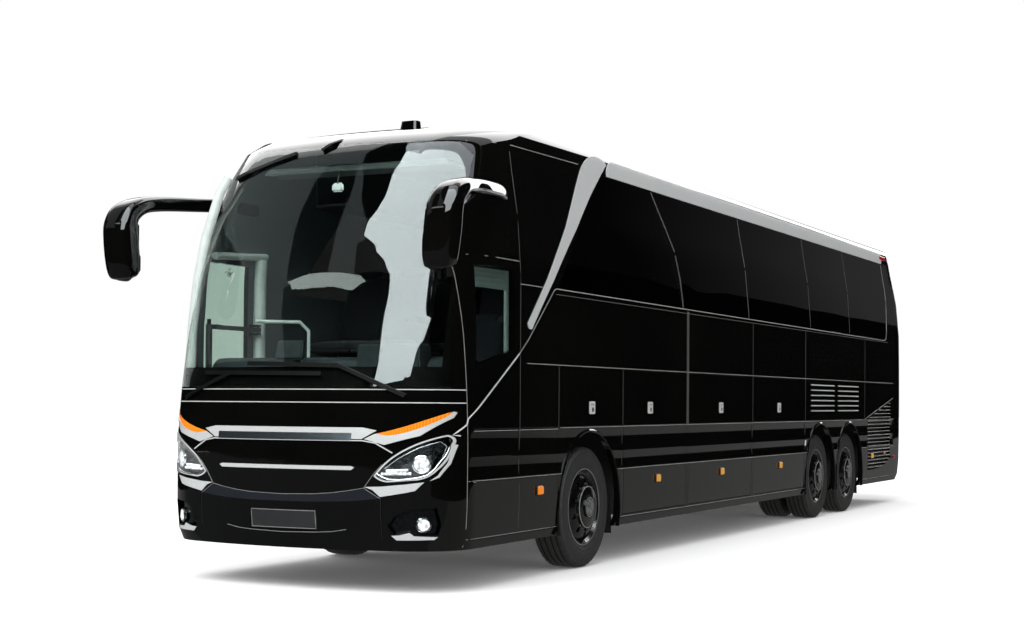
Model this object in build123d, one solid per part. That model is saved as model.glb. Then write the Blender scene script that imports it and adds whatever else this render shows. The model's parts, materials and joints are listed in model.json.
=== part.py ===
from build123d import *
from collections import namedtuple
from math import asin, cos, degrees, hypot, radians, sin, sqrt
import os

os.makedirs("parts", exist_ok=True)

# Touring coach, three axles. Millimetres; +X is the coach's left side, the front faces -Y, +Z is up.
# Stations run rearwards from the foremost point of the front bumper.

# ---- driving dimensions -------------------------------------------------------------------------
body_length = 13930
mirror_reach = 230          # how far the mirror heads stand ahead of the bumper
half_width = 1275
wall = 45                   # whole thickness of a body wall, door or flap
pane = 8                    # glass thickness
seat_gap = 0.3              # two pieces that bear on each other
shut_gap = 8                # shut line round a door or flap
front_y = -(body_length - mirror_reach) / 2

front_axle_at = 2670
drive_axle_at = 9630
tag_axle_at = 10980
hub_height = 505
tyre_radius = 505
tyre_width = 290
track_front = 1090          # half track to the middle of a single tyre
twin_inner = 740
arch_radius = 625
lip_wide = 27               # rolled edge round each wheel arch
lip_proud = 7

skirt_low = 310
sill_low = 400              # underside of the flaps
belt_low = 1676             # top of the flaps
window_low = 2285
window_high = 3335
roof_split = 3350
crown_slope = 6             # degrees where the roof crown meets its edge
roof_edge_radius = 250
roof_edge_x = 994.5
roof_edge_z = 3325
crown_half = 950            # the crown meets the cove panels here

front_bow = 3500            # plan radius of the front face
rear_bow = 20000
rear_corner = 240
side_start = 500            # station where the side walls begin
side_end = 13330            # station where they end
b_pillar_at = 1310
bumper_top = 700

deck_low = 1420             # passenger deck
deck_thick = 40
floor_low = 400             # luggage floor
floor_thick = 40
tunnel_high = 1190          # underside of the wheel tunnels

Section = namedtuple("Section", "z nose half corner tail")
body_sections = [
    Section(310, 70, 1235, 440, 110),
    Section(400, 25, 1262, 480, 60),
    Section(600, 0, 1271, 500, 20),
    Section(1100, 0, 1274, 500, 0),
    Section(1450, 45, 1275, 500, 0),
    Section(1900, 125, 1275, 500, 10),
    Section(2350, 235, 1274, 520, 30),
    Section(2800, 385, 1243, 550, 80),
    Section(3150, 560, 1188, 560, 150),
    Section(3350, 720, 1163, 560, 210),
    Section(3450, 920, 1151, 540, 260),
    Section(3550, 1380, 1140, 500, 330),
    Section(3650, 2200, 1128, 450, 430),
]


def y_at(station):
    return front_y + station


def corner_points(nose, bow, half, corner):
    """Bow arc, corner arc and side of one end: (x, depth) of the tangent points and the arc middles."""
    reach = bow - corner
    centre_x = half - corner
    centre_d = nose + bow - sqrt(reach**2 - centre_x**2)
    on_bow = (centre_x * bow / reach, nose + bow + (centre_d - nose - bow) * bow / reach)
    dx = centre_x / reach + 1
    dd = (centre_d - nose - bow) / reach
    size = sqrt(dx**2 + dd**2)
    middle = (centre_x + corner * dx / size, centre_d + corner * dd / size)
    return on_bow, middle, (half, centre_d)


def plan_face(row, inset):
    half = row.half - inset
    bow, mid, side = corner_points(row.nose + inset, front_bow - inset, half, row.corner - inset)
    rbow, rmid, rside = corner_points(row.tail + inset, rear_bow - inset, half, rear_corner - inset)

    def front(p, s=1):
        return (s * p[0], y_at(p[1]), row.z)

    def rear(p, s=1):
        return (s * p[0], y_at(body_length - p[1]), row.z)

    edges = [
        ThreePointArc(front(bow, -1), front((0, row.nose + inset)), front(bow)),
        ThreePointArc(front(bow), front(mid), front(side)),
        Line(front(side), rear(rside)),
        ThreePointArc(rear(rside), rear(rmid), rear(rbow)),
        ThreePointArc(rear(rbow), rear((0, row.tail + inset)), rear(rbow, -1)),
        ThreePointArc(rear(rbow, -1), rear(rmid, -1), rear(rside, -1)),
        Line(rear(rside, -1), front(side, -1)),
        ThreePointArc(front(side, -1), front(mid, -1), front(bow, -1)),
    ]
    return make_face(edges)


def roof_prism(inset):
    """Everything under the roof's crown, as one long extrusion."""
    edge_r = roof_edge_radius - inset
    a = radians(crown_slope)
    join = (roof_edge_x + edge_r * sin(a), roof_edge_z + edge_r * cos(a))
    crown_r = join[0] / sin(a)
    top = join[1] + crown_r * (1 - cos(a))
    out = roof_edge_x + edge_r

    def p(x, z):
        return (x, y_at(-600), z)

    edges = [
        ThreePointArc(p(-join[0], join[1]), p(0, top), p(*join)),
        ThreePointArc(p(*join), p(roof_edge_x + edge_r * sin(radians(45)), roof_edge_z + edge_r * cos(radians(45))),
                      p(out, roof_edge_z)),
        Polyline(p(out, roof_edge_z), p(out + 200, roof_edge_z), p(out + 200, -100), p(-out - 200, -100),
                 p(-out - 200, roof_edge_z), p(-out, roof_edge_z)),
        ThreePointArc(p(-out, roof_edge_z),
                      p(-roof_edge_x - edge_r * sin(radians(45)), roof_edge_z + edge_r * cos(radians(45))),
                      p(-join[0], join[1])),
    ]
    return extrude(make_face(edges), amount=body_length + 1200, dir=(0, 1, 0))


def body_solid(inset):
    return loft([plan_face(row, inset) for row in body_sections], ruled=True) & roof_prism(inset)


def section_at(z):
    """The body's section at any height, between two rows of the table."""
    for low, high in zip(body_sections, body_sections[1:]):
        if z <= high.z:
            t = (z - low.z) / (high.z - low.z)
            return Section(*(a + (b - a) * t for a, b in zip(low, high)))


def front_at(x, z):
    """Station of the front's surface, and the angle by which it faces sideways there."""
    row = section_at(z)
    bow, _, side = corner_points(row.nose, front_bow, row.half, row.corner)
    if abs(x) < bow[0]:
        return row.nose + front_bow - sqrt(front_bow**2 - x**2), degrees(asin(x / front_bow))
    across = abs(x) - (row.half - row.corner)
    angle = degrees(asin(across / row.corner))
    return side[1] - sqrt(row.corner**2 - across**2), angle if x > 0 else -angle


# ---- regions: prisms that the shell is divided with ----------------------------------------------
# In an outline, a point marked "arc" is the middle of an arc between its two neighbours.
def outline_face(points, place):
    ring = points + points[:1]
    edges = []
    i = 0
    while i < len(points):
        start, after = place(*ring[i][:2]), ring[i + 1]
        if len(after) == 3:
            i += 2
            edges.append(ThreePointArc(start, place(*after[:2]), place(*ring[i][:2])))
        else:
            i += 1
            edges.append(Line(start, place(*after)))
    return make_face(edges)


def side_prism(points, side, x_low=560, x_high=1600):
    """Prism along X over (station, z) points, on the left (side 1) or right (side -1)."""
    face = outline_face(points, lambda s, z: (side * x_low, y_at(s), z))
    return extrude(face, amount=x_high - x_low, dir=(side, 0, 0))


def front_prism(points, depth=1500, shrink=0):
    """Prism along Y over (x, z) points, from ahead of the nose back to the given station."""
    face = outline_face(points, lambda x, z: (x, y_at(-400), z))
    if shrink:
        face = offset(face, -shrink, kind=Kind.INTERSECTION)
    return extrude(face, amount=depth + 400, dir=(0, 1, 0))


def rear_prism(points, depth=900):
    face = outline_face(points, lambda x, z: (x, y_at(body_length + 100), z))
    return extrude(face, amount=depth + 100, dir=(0, -1, 0))


def ribbon(points, wide):
    """Outline of a strip of even width along a line of points."""
    upper, lower = [], []
    for i, (a, z) in enumerate(points):
        (a0, z0), (a1, z1) = points[max(i - 1, 0)], points[min(i + 1, len(points) - 1)]
        size = hypot(a1 - a0, z1 - z0)
        na, nz = (z0 - z1) / size * wide / 2, (a1 - a0) / size * wide / 2
        upper.append((a + na, z + nz))
        lower.append((a - na, z - nz))
    return upper + lower[::-1]


def block(x0, x1, s0, s1, z0, z1):
    return Pos((x0 + x1) / 2, y_at((s0 + s1) / 2), (z0 + z1) / 2) * Box(x1 - x0, s1 - s0, z1 - z0)


def both(points):
    """A front outline on the left and its mirror image on the right."""
    return [points, [(-p[0], *p[1:]) for p in points]]


def grown(points, by):
    """A rectangle given by its low and high corners, larger by the given amount all round."""
    (a, b), (c, d) = points
    return [(a - by, b - by), (c + by, b - by), (c + by, d + by), (a - by, d + by)]


skins = {}


def skin(inset_out, inset_in):
    for inset in (inset_out, inset_in):
        if inset not in skins:
            skins[inset] = body_solid(inset)
    return skins[inset_out] - skins[inset_in]


def cylinder_x(x0, x1, station, z, radius):
    return Pos((x0 + x1) / 2, y_at(station), z) * Rot(0, 90, 0) * Cylinder(radius, abs(x1 - x0))


def cylinder_y(s0, s1, x, z, radius):
    return Pos(x, y_at((s0 + s1) / 2), z) * Rot(90, 0, 0) * Cylinder(radius, abs(s1 - s0))


def cylinder_z(z0, z1, x, station, radius):
    return Pos(x, y_at(station), (z0 + z1) / 2) * Cylinder(radius, abs(z1 - z0))


# Two long flutes run along the flanks, with a crease above, below and at the skirt.
Flute = namedtuple("Flute", "z radius deep")
flutes = [
    Flute(1070, 600, 8),
    Flute(893, 480, 8),
    Flute(1173, 12, 4),
    Flute(804, 12, 4),
    Flute(381, 12, 4),
]
shell = skin(0, wall)
for flute in flutes:
    for side in (1, -1):
        centre_x = section_at(flute.z).half + flute.radius - flute.deep
        shell -= cylinder_y(side_start, side_end, side * centre_x, flute.z, flute.radius)
glass_shell = skin(0, pane)
trim_proud = 6
trim_shell = skin(-trim_proud, -seat_gap)
room = body_solid(wall + seat_gap)          # the space inside the walls

# ---- outlines -------------------------------------------------------------------------------------
swoosh = [(side_start, 1222), (b_pillar_at, 1752)]
pillar_low = 2600           # where the front pillars start to lean back
windscreen_outline = [(-1196, 1478), (1196, 1478), (1130, 2560), (1112, 2900), (1072, 3230), (960, 3335),
                      (-960, 3335), (-1072, 3230), (-1112, 2900), (-1130, 2560)]
driver_window = [(600, 1645), (1212, 1775), (1212, 2385), (640, 2375)]
rear_window_outline = [(-930, 2360), (930, 2360), (880, 3080), (-880, 3080)]
engine_door_low, engine_door_high, engine_door_half = 520, 1760, 900

Glass = namedtuple("Glass", "low_start high_start low_end high_end")
side_panes = [
    Glass(1990, 2960, 4835, 4255),
    Glass(4865, 4285, 6825, 6745),
    Glass(6855, 6775, 9150, 9110),
    Glass(9180, 9140, 10935, 10935),
    Glass(10965, 10965, 12850, 12950),
]

Flap = namedtuple("Flap", "name side start end")
flaps = [
    Flap("flap_left_front", 1, 3358, 4987),
    Flap("flap_left_middle", 1, 4987, 6983),
    Flap("flap_left_rear", 1, 6983, 8962),
    Flap("flap_right_front", -1, 3358, 4987),
    Flap("flap_right_middle", -1, 4987, 6000),
    Flap("flap_right_rear", -1, 7720, 8962),
]
post = 28                   # half width of the wall left between two flaps

Door = namedtuple("Door", "name start end low high glass_low glass_high")
doors = [
    Door("front_door", 590, 1400, 400, 2560, 1000, 2480),
    Door("mid_door", 6730, 7610, 400, 2230, 1150, 2150),
]

parts = {}


def arch_cutter(station, side):
    return cylinder_x(side * 560, side * 1600, station, hub_height, arch_radius)


def turned(points, x, station):
    """Body of revolution about an axle: (x from the middle, radius) points."""
    face = make_face(Polyline([(a, 0, r) for a, r in points], close=True))
    return Pos(x, y_at(station), hub_height) * revolve(face, Axis.X)


def arch_lip(station, side):
    """The rolled edge round an arch, down to the skirt."""
    inner, outer, crest = arch_radius, arch_radius + lip_wide, half_width + lip_proud
    profile = [(1250, inner), (crest - 6, inner), (crest, inner + 6), (crest, outer - 10), (crest - 8, outer),
               (1250, outer)]
    ring = turned([(side * x, r) for x, r in profile], 0, station)
    return ring & block(-1600, 1600, station - 700, station + 700, skirt_low, 1300)


# Pressed louvres over the rear wheels, and the slots of the air intake in each rear corner.
Louvre = namedtuple("Louvre", "start end low pitch count")
louvres = [
    Louvre(9200, 10220, 1290, 62, 6),
    Louvre(10400, 11390, 1290, 62, 6),
]
louvre_high, louvre_proud, louvre_slot = 30, 9, 12
intake = [(11900, 1190), (13150, 1425), (13150, 640), (12900, 560, "arc"), (12600, 515), (11900, 489)]
intake_low, intake_pitch, intake_slot = 500, 48, 26
panel_seams = [(2020, skirt_low, 1676), (11723, skirt_low, window_low)]
seam_wide, seam_deep = 6, 6


def louvre_bars(row, side):
    bars = []
    for i in range(row.count):
        z = row.low + i * row.pitch
        corners = [(side * 1262, z + louvre_high), (side * 1262, z), (side * (half_width + louvre_proud), z)]
        face = make_face(Polyline([(x, y_at(row.start), h) for x, h in corners], close=True))
        bars.append(extrude(face, amount=row.end - row.start, dir=(0, 1, 0)))
    return bars


def louvre_slots(row, side):
    inner, outer = sorted((side * (half_width - louvre_slot), side * 1300))
    return [block(inner, outer, row.start + 10, row.end - 10, row.low + i * row.pitch - louvre_slot,
                  row.low + i * row.pitch) for i in range(row.count)]


def intake_slots(side):
    zone = side_prism(intake, side)
    top = max(p[1] for p in intake)
    count = int((top - intake_low) / intake_pitch)
    lows = [intake_low + i * intake_pitch for i in range(count)]
    return [zone & block(-1600, 1600, intake[0][0] - 50, side_end, z, z + intake_slot) for z in lows]


def panel_grooves(side):
    inner, outer = sorted((side * (half_width - seam_deep - 4), side * 1300))
    return [block(inner, outer, at - seam_wide / 2, at + seam_wide / 2, low, high) for at, low, high in panel_seams]


def pane_points(g):
    return [(g.low_start, window_low), (g.low_end, window_low), (g.high_end, window_high), (g.high_start, window_high)]


# ---- flaps: panel with a rounded top edge that turns on two stub pins ------------------------------
hinge_in = wall / 2
pin_radius = 8
pin_play = 0.3
pin_depth = 20


def flap_x(side):
    return side * (1275 - hinge_in)


def flap_limits(f):
    return f.start + post, f.end - post


flap_hinge_z = belt_low - 30
for f in flaps:
    s0, s1 = flap_limits(f)
    panel = shell & side_prism([(s0 + shut_gap, sill_low + shut_gap), (s1 - shut_gap, sill_low + shut_gap),
                                (s1 - shut_gap, flap_hinge_z), (s0 + shut_gap, flap_hinge_z)], f.side)
    barrel = cylinder_y(s0 + shut_gap, s1 - shut_gap, flap_x(f.side), flap_hinge_z, hinge_in - 0.5)
    panel = panel + barrel
    for end, inward in ((s0 + shut_gap, 1), (s1 - shut_gap, -1)):
        panel -= cylinder_y(end - inward, end + inward * pin_depth, flap_x(f.side), flap_hinge_z,
                            pin_radius + pin_play)
    parts[f.name] = panel

flap_top = flap_hinge_z + hinge_in + shut_gap
rain_bar_x = 1225           # a bar inside the wall shuts the slot over each flap


def rain_bar(f):
    s0, s1 = f.start + 5, f.end - 5
    hang = sorted((f.side * (rain_bar_x - 20), f.side * rain_bar_x))
    root = sorted((f.side * (rain_bar_x - 20), f.side * (rain_bar_x + 12)))
    return block(*hang, s0, s1, flap_hinge_z - 16, flap_top + 20) + block(*root, s0, s1, flap_top, flap_top + 20)


# ---- side walls -----------------------------------------------------------------------------------
for side, name in ((1, "side_wall_left"), (-1, "side_wall_right")):
    if side > 0:
        edge = [(side_start, skirt_low), (side_end, skirt_low), (side_end, roof_split), (b_pillar_at, roof_split),
                swoosh[1], swoosh[0]]
    else:
        edge = [(side_start, skirt_low), (side_end, skirt_low), (side_end, roof_split), (b_pillar_at, roof_split),
                (side_start, pillar_low)]
    piece = shell & side_prism(edge, side)
    for axle in (front_axle_at, drive_axle_at, tag_axle_at):
        piece -= arch_cutter(axle, side)
    piece -= front_prism(windscreen_outline)
    for g in side_panes:
        piece -= side_prism(pane_points(g), side)
    for f in flaps:
        if f.side == side:
            s0, s1 = flap_limits(f)
            piece -= side_prism(grown(((s0, sill_low), (s1, flap_top)), 0), side)
    if side < 0:
        for d in doors:
            piece -= side_prism(grown(((d.start, d.low), (d.end, d.high)), 0), side)
    for row in louvres:
        piece -= louvre_slots(row, side)
        piece += louvre_bars(row, side)
    piece -= intake_slots(side)
    piece -= panel_grooves(side)
    for axle in (front_axle_at, drive_axle_at, tag_axle_at):
        piece += arch_lip(axle, side)
    for f in flaps:
        if f.side == side:
            s0, s1 = flap_limits(f)
            piece += rain_bar(f)
            for end, inward in ((s0, 1), (s1, -1)):
                piece += cylinder_y(end - inward * 12, end + inward * (shut_gap + pin_depth - 2), flap_x(side),
                                    flap_hinge_z, pin_radius)
    parts[name] = piece

parts["side_glass"] = Compound([(glass_shell & side_prism(pane_points(g), side)).solid()
                                for side in (1, -1) for g in side_panes]
                               + [(glass_shell & side_prism(driver_window, 1)).solid()])

# ---- roof, rear, front ----------------------------------------------------------------------------
roof = shell & block(-1600, 1600, -200, body_length + 200, roof_split, 3900)
roof_length = (-200, body_length + 200, roof_split - 10, 3900)
parts["roof"] = Compound([(roof & block(x0, x1, *roof_length)).solid() for x0, x1 in (
    (-crown_half, crown_half), (crown_half + seat_gap, 1600), (-1600, -crown_half - seat_gap))])
parts["windscreen"] = glass_shell & front_prism(windscreen_outline)

rear = shell & block(-1600, 1600, side_end, body_length + 200, skirt_low - 10, roof_split)
rear -= rear_prism(rear_window_outline)
lid_swing = 40
door_top = engine_door_high + lid_swing + shut_gap
rear -= rear_prism([(-engine_door_half, engine_door_low), (engine_door_half, engine_door_low),
                    (engine_door_half, door_top), (-engine_door_half, door_top)])
engine_axis_at = body_length - 48
for x0, x1 in ((-engine_door_half - 15, -engine_door_half + shut_gap + pin_depth - 2),
               (engine_door_half - shut_gap - pin_depth + 2, engine_door_half + 15)):
    rear += cylinder_x(x0, x1, engine_axis_at, engine_door_high, pin_radius)
parts["rear_wall"] = rear
parts["rear_window"] = glass_shell & rear_prism(rear_window_outline)

lid_half = engine_door_half - shut_gap
lid = shell & rear_prism([(-lid_half, engine_door_low + shut_gap), (lid_half, engine_door_low + shut_gap),
                          (lid_half, engine_door_high), (-lid_half, engine_door_high)])
lid += cylinder_x(-lid_half, lid_half, engine_axis_at, engine_door_high, 20)
for end, inward in ((-lid_half, 1), (lid_half, -1)):
    lid -= cylinder_x(end - inward, end + inward * pin_depth, engine_axis_at, engine_door_high,
                      pin_radius + pin_play)
lid_slot = 26
lid -= [block(-620, 620, body_length - 30, body_length + 20, z, z + lid_slot) for z in range(960, 1500, 52)]
parts["engine_door"] = lid

headlamp = [(739, 847), (806, 927, "arc"), (885, 991), (1034, 1074, "arc"), (1190, 1134), (1214, 1116, "arc"),
            (1213, 1077), (1187, 970, "arc"), (1137, 893), (1082, 844, "arc"), (1010, 826), (851, 812),
            (786, 819, "arc")]
indicator = [(735, 1147), (960, 1206, "arc"), (1185, 1299), (1212, 1307), (1181, 1269), (1015, 1178, "arc"),
             (830, 1134)]
fog_recess = [(819, 494), (871, 566), (987, 611), (1141, 624), (1158, 500), (1140, 425), (862, 425)]
number_plate = [(-288, 446), (288, 446), (288, 598), (-288, 598)]
# Shut lines of the front: the edge of the lower grille panel, and where the bumper splits.
panel_edge = [(0, 703), (284, 706), (528, 734), (642, 768), (717, 855)]
bumper_split = [(792, 690), (783, 560), (783, 392)]

front_edge = [(-400, bumper_top), (side_start, bumper_top), (side_start, pillar_low), (b_pillar_at, roof_split),
              (-400, roof_split)]
front = shell & side_prism(front_edge, 1, -1600, 1600)
front += shell & side_prism([swoosh[0], swoosh[1], (b_pillar_at, roof_split), (side_start, pillar_low)], 1)
front -= front_prism(windscreen_outline)
front -= side_prism(driver_window, 1)
bumper = shell & block(-1600, 1600, -100, side_start, skirt_low - 10, bumper_top)
cover = 4                   # clear lamp covers, as thick as the shut lines are deep
cover_shell = skin(0, cover)
for outline in both(headlamp) + both(indicator):
    front -= front_prism(outline)
for outline in both(fog_recess):
    bumper -= front_prism(outline)
for outline in both(ribbon(panel_edge, seam_wide)):
    front -= cover_shell & front_prism(outline)
for outline in both(ribbon(bumper_split, seam_wide)):
    bumper -= cover_shell & front_prism(outline)
bumper -= glass_shell & front_prism(number_plate)
parts["front_panel"] = front
parts["front_bumper"] = bumper

# ---- front lamps: clear covers over trays that hold the projectors, fog lamps and light rows --------
tray_wall = 6
tray_shell = skin(cover + 2, wall)
tray_room = skin(cover, wall - tray_wall)
tray_end = side_start - 5
parts["front_lamps"] = Compound([(cover_shell & front_prism(o, shrink=seat_gap)).solid() for o in both(headlamp)])
parts["indicators"] = Compound([(shell & front_prism(o, shrink=seat_gap)).solid() for o in both(indicator)])


def stud(x, z, radius, near, far):
    """Short cylinder square to the front's curve, between two depths under its surface."""
    station, angle = front_at(x, z)
    depth = (near + far) / 2
    place = Pos(x - depth * sin(radians(angle)), y_at(station + depth * cos(radians(angle))), z)
    return place * Rot(0, 0, angle) * Rot(90, 0, 0) * Cylinder(radius, far - near)


def tray(outline):
    return (tray_shell & front_prism(outline, tray_end, seat_gap)) \
        - (tray_room & front_prism(outline, tray_end, seat_gap + tray_wall))


Lamp = namedtuple("Lamp", "x z radius bezel")
projector = Lamp(1055, 931, 60, 72)
fog_lamp = Lamp(1066, 500, 48, 58)
light_row = [(800, 853), (838, 857), (876, 861), (914, 865), (952, 869)]
trays = []
for side, head, fog in zip((1, -1), both(headlamp), both(fog_recess)):
    head_tray, fog_tray = tray(head), tray(fog)
    head_tray += stud(side * projector.x, projector.z, projector.bezel, 26, wall - 2)
    head_tray += stud(side * projector.x, projector.z, projector.radius, 16, 28)
    for x, z in light_row:
        head_tray += stud(side * x, z, 13, 20, wall - 2)
    fog_tray += stud(side * fog_lamp.x, fog_lamp.z, fog_lamp.bezel, 28, wall - 2)
    fog_tray += stud(side * fog_lamp.x, fog_lamp.z, fog_lamp.radius, 18, 30)
    trays += [head_tray.solid(), fog_tray.solid()]
parts["lamp_housings"] = Compound(trays)

tail_lamp = [(960, 900), (1180, 900), (1150, 1500), (990, 1500)]
parts["rear_lamps"] = Compound([(skin(-trim_proud, -seat_gap) & rear_prism(o)).solid() for o in both(tail_lamp)])

# ---- silver trim -----------------------------------------------------------------------------------
blade_outline = [(1440, 1985), (2045, 2622, "arc"), (2628, 3297), (2860, 3462, "arc"), (3241, 3450),
                 (2500, 2880, "arc"), (1536, 1971), (1470, 1945, "arc")]
roof_band = [(3230, 3345), (12990, 3345), (13060, 3417, "arc"), (12990, 3490), (3370, 3490), (3255, 3430, "arc")]
front_strip = [(-636, 1108), (636, 1108), (745, 1170), (640, 1190), (-640, 1190), (-745, 1170)]
thin_line = [(-863, 1012), (-738, 1081), (-642, 1097), (642, 1097), (738, 1081), (863, 1012)]
chrome_bar = [(-585, 905), (-560, 886), (560, 886), (585, 905), (560, 914), (-560, 914)]
indicator_frame = [(655, 1108), (735, 1147), (830, 1134), (1015, 1178, "arc"), (1181, 1269), (1212, 1307),
                   (1224, 1300), (1210, 1262), (1044, 1134), (804, 1068)]
under_lamp = [(661, 768), (778, 772), (955, 790), (1072, 806), (1018, 745), (955, 730), (778, 699), (720, 748)]
lamp_sliver = [(1104, 815), (1152, 838), (1205, 935), (1234, 1069), (1222, 1075), (1192, 940), (1144, 850)]
fog_blade = [(850, 424), (905, 428), (976, 447), (1003, 424), (1140, 416), (1120, 396), (886, 392)]
lamp_rim = 7
front_trim = [front_prism(front_strip), front_prism(ribbon(thin_line, 8)), front_prism(chrome_bar)]
for outline in (indicator_frame, under_lamp, lamp_sliver, fog_blade):
    front_trim += [front_prism(o) for o in both(outline)]
for outline in both(headlamp):
    front_trim.append(front_prism(outline, shrink=-lamp_rim) - front_prism(outline, shrink=lamp_rim / 2))
side_trim = [side_prism(o, side) for side in (1, -1) for o in (blade_outline, roof_band)]
trim = []
for zone in side_trim + front_trim:
    trim += (trim_shell & zone).solids()
parts["silver_trim"] = Compound(trim)

# ---- doors on the right: a panel with glass, carried by an arm that keeps it parallel --------------
arm_post_x = -1150
arm_from_edge = 70          # post and pin, measured from the door's two upright edges
post_radius = 16
pin_hold = 11
arm_levels = (760, 1960)
arm_high = 36
frame_wide = 110
bracket = 20
bracket_gap = 6
for d in doors:
    hole = side_prism(grown(((d.start + frame_wide, d.glass_low), (d.end - frame_wide, d.glass_high)), 0), -1)
    leaf = (shell & side_prism(grown(((d.start, d.low), (d.end, d.high)), -shut_gap), -1)) - hole
    post_at, pin_at = d.start + arm_from_edge, d.end - arm_from_edge
    arm = cylinder_z(arm_levels[0] - arm_high / 2, arm_levels[1] + arm_high / 2, arm_post_x, post_at,
                     post_radius + 10)
    for level in arm_levels:
        reach = arm_high / 2 + bracket_gap
        for low in (level - reach - bracket, level + reach):
            leaf += block(-1236, arm_post_x + 14, pin_at - bracket, pin_at + bracket, low, low + bracket)
        leaf += cylinder_z(level - reach - bracket, level + reach + bracket, arm_post_x, pin_at, pin_hold)
        arm += block(arm_post_x - 15, arm_post_x + 15, post_at, pin_at, level - arm_high / 2, level + arm_high / 2)
        arm += cylinder_z(level - arm_high / 2, level + arm_high / 2, arm_post_x, pin_at, pin_hold + 12)
        arm -= cylinder_z(level - arm_high, level + arm_high, arm_post_x, pin_at, pin_hold + pin_play)
    arm -= cylinder_z(400, 2400, arm_post_x, post_at, post_radius + pin_play)
    parts[d.name] = leaf
    parts[d.name + "_glass"] = glass_shell & hole
    parts[d.name + "_arm"] = arm

# ---- underframe: one bent floor with wheel tunnels, and the bulkheads of the luggage bays ----------
front_floor_at, tunnel_front, tunnel_back = 330, 1960, 3340
rear_tunnel_front, rear_tunnel_back = 8980, 11700
engine_floor_end = 13600
top = floor_low + floor_thick
roof_of_tunnel = tunnel_high + floor_thick
outline = [(front_floor_at, floor_low), (tunnel_front, floor_low), (tunnel_front, tunnel_high),
           (tunnel_back, tunnel_high), (tunnel_back, floor_low), (rear_tunnel_front, floor_low),
           (rear_tunnel_front, tunnel_high), (rear_tunnel_back, tunnel_high), (rear_tunnel_back, floor_low),
           (engine_floor_end, floor_low), (engine_floor_end, top), (rear_tunnel_back + floor_thick, top),
           (rear_tunnel_back + floor_thick, roof_of_tunnel), (rear_tunnel_front - floor_thick, roof_of_tunnel),
           (rear_tunnel_front - floor_thick, top), (tunnel_back + floor_thick, top),
           (tunnel_back + floor_thick, roof_of_tunnel), (tunnel_front - floor_thick, roof_of_tunnel),
           (tunnel_front - floor_thick, top), (front_floor_at, top)]
underframe = side_prism(outline, 1, -1400, 1400)
bulkheads = (4987, 6000, 6983)
deck_ends = (1760, 13250)
for station in bulkheads:
    underframe += block(-1400, 1400, station - 15, station + 15, floor_low + 10, deck_low)
for station in (tunnel_back + floor_thick / 2, rear_tunnel_front - floor_thick / 2, 2000, 11720):
    underframe += block(-1400, 1400, station - 15, station + 15, roof_of_tunnel - 10, deck_low)
underframe = underframe & room
stair = (-1215, -350)
stair_under = 30
mid_start, mid_end = doors[1].start - 20, doors[1].end + 20
underframe -= block(-1400, stair[1] + stair_under, mid_start, mid_end, top, deck_low + 100)
for f in flaps:
    s0, s1 = flap_limits(f)
    underframe -= block(min(f.side * (1230 - 14), f.side * 1500), max(f.side * (1230 - 14), f.side * 1500), s0, s1,
                        sill_low - 20, flap_hinge_z + 60)
for d in doors:
    underframe -= block(-1500, stair[0], d.start - 5, d.end + 5, sill_low - 5, deck_low + 10)
pad_radius, pad_low = 60, 370
for x in (-780, 780):
    for station in (tunnel_back + 130, rear_tunnel_front - 90):
        underframe += cylinder_z(pad_low, floor_low + 5, x, station, pad_radius)
parts["underframe"] = underframe

# ---- cabin floor: passenger deck, driver's floor and the two stairs -------------------------------
deck = block(-1400, 1400, deck_ends[0], deck_ends[1], deck_low, deck_low + deck_thick) & room
for f in flaps:
    s0, s1 = flap_limits(f)
    deck -= block(min(f.side * 1180, f.side * 1500), max(f.side * 1180, f.side * 1500), s0, s1, deck_low - 10,
                  deck_low + 60)
driver_floor = 1000
cab = side_prism([(front_floor_at + 60, top), (front_floor_at + 60, driver_floor), (deck_ends[0], driver_floor),
                  (deck_ends[0], deck_low + deck_thick), (deck_ends[0] + 40, deck_low + deck_thick),
                  (deck_ends[0] + 40, top), (deck_ends[0], top), (deck_ends[0], driver_floor - 40),
                  (front_floor_at + 100, driver_floor - 40), (front_floor_at + 100, top)], 1, -1400, 1400) & room
deck += cab
front_well = (doors[0].start - 10, doors[0].end + 10)
deck -= block(-1500, stair[1], front_well[0], front_well[1], top + 1, driver_floor + 500)
deck -= block(-1400, stair[1] - 20, mid_start, mid_end, deck_low - 20, deck_low + 90)


def stairs(low, high, count, s0, s1):
    """Steps that climb inwards from the door, with a riser plate under each tread."""
    run = (stair[1] - stair[0]) / (count + 1)
    rise = (high - low) / (count + 1)
    under = stair_under
    points = [(stair[0], low)]
    for i in range(1, count + 2):
        points += [(stair[0] + run * i, low + rise * (i - 1)), (stair[0] + run * i, low + rise * i)]
    points += [(stair[1] + under, high), (stair[1] + under, high - under - rise)]
    points += [(stair[1], low)]
    face = make_face(Polyline([(x, y_at(s0), z) for x, z in points], close=True))
    return extrude(face, amount=s1 - s0, dir=(0, 1, 0))


deck += stairs(top, driver_floor, 3, *front_well)
deck += stairs(top, deck_low + deck_thick, 4, mid_start, mid_end)
for d in doors:
    deck += cylinder_z(top, arm_levels[1] + 60, arm_post_x, d.start + arm_from_edge, post_radius)
parts["cabin_floor"] = deck

# ---- engine: one plain block on the rear floor ----------------------------------------------------
parts["engine_block"] = block(-480, 480, 12150, 13480, top, 1330)

# ---- inside: seats, dashboard, steering wheel ------------------------------------------------------
seat_profile = [(0, 0), (0, 90), (-60, 330), (-30, 430), (420, 400), (520, 640), (640, 1080), (700, 1070), (560, 400),
                (470, 300), (330, 300), (330, 90), (330, 0)]
deck_top = deck_low + deck_thick
row_pitch, first_row, last_row = 800, 2080, 12000
aisle_half, seat_out = 250, 1150


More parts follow.
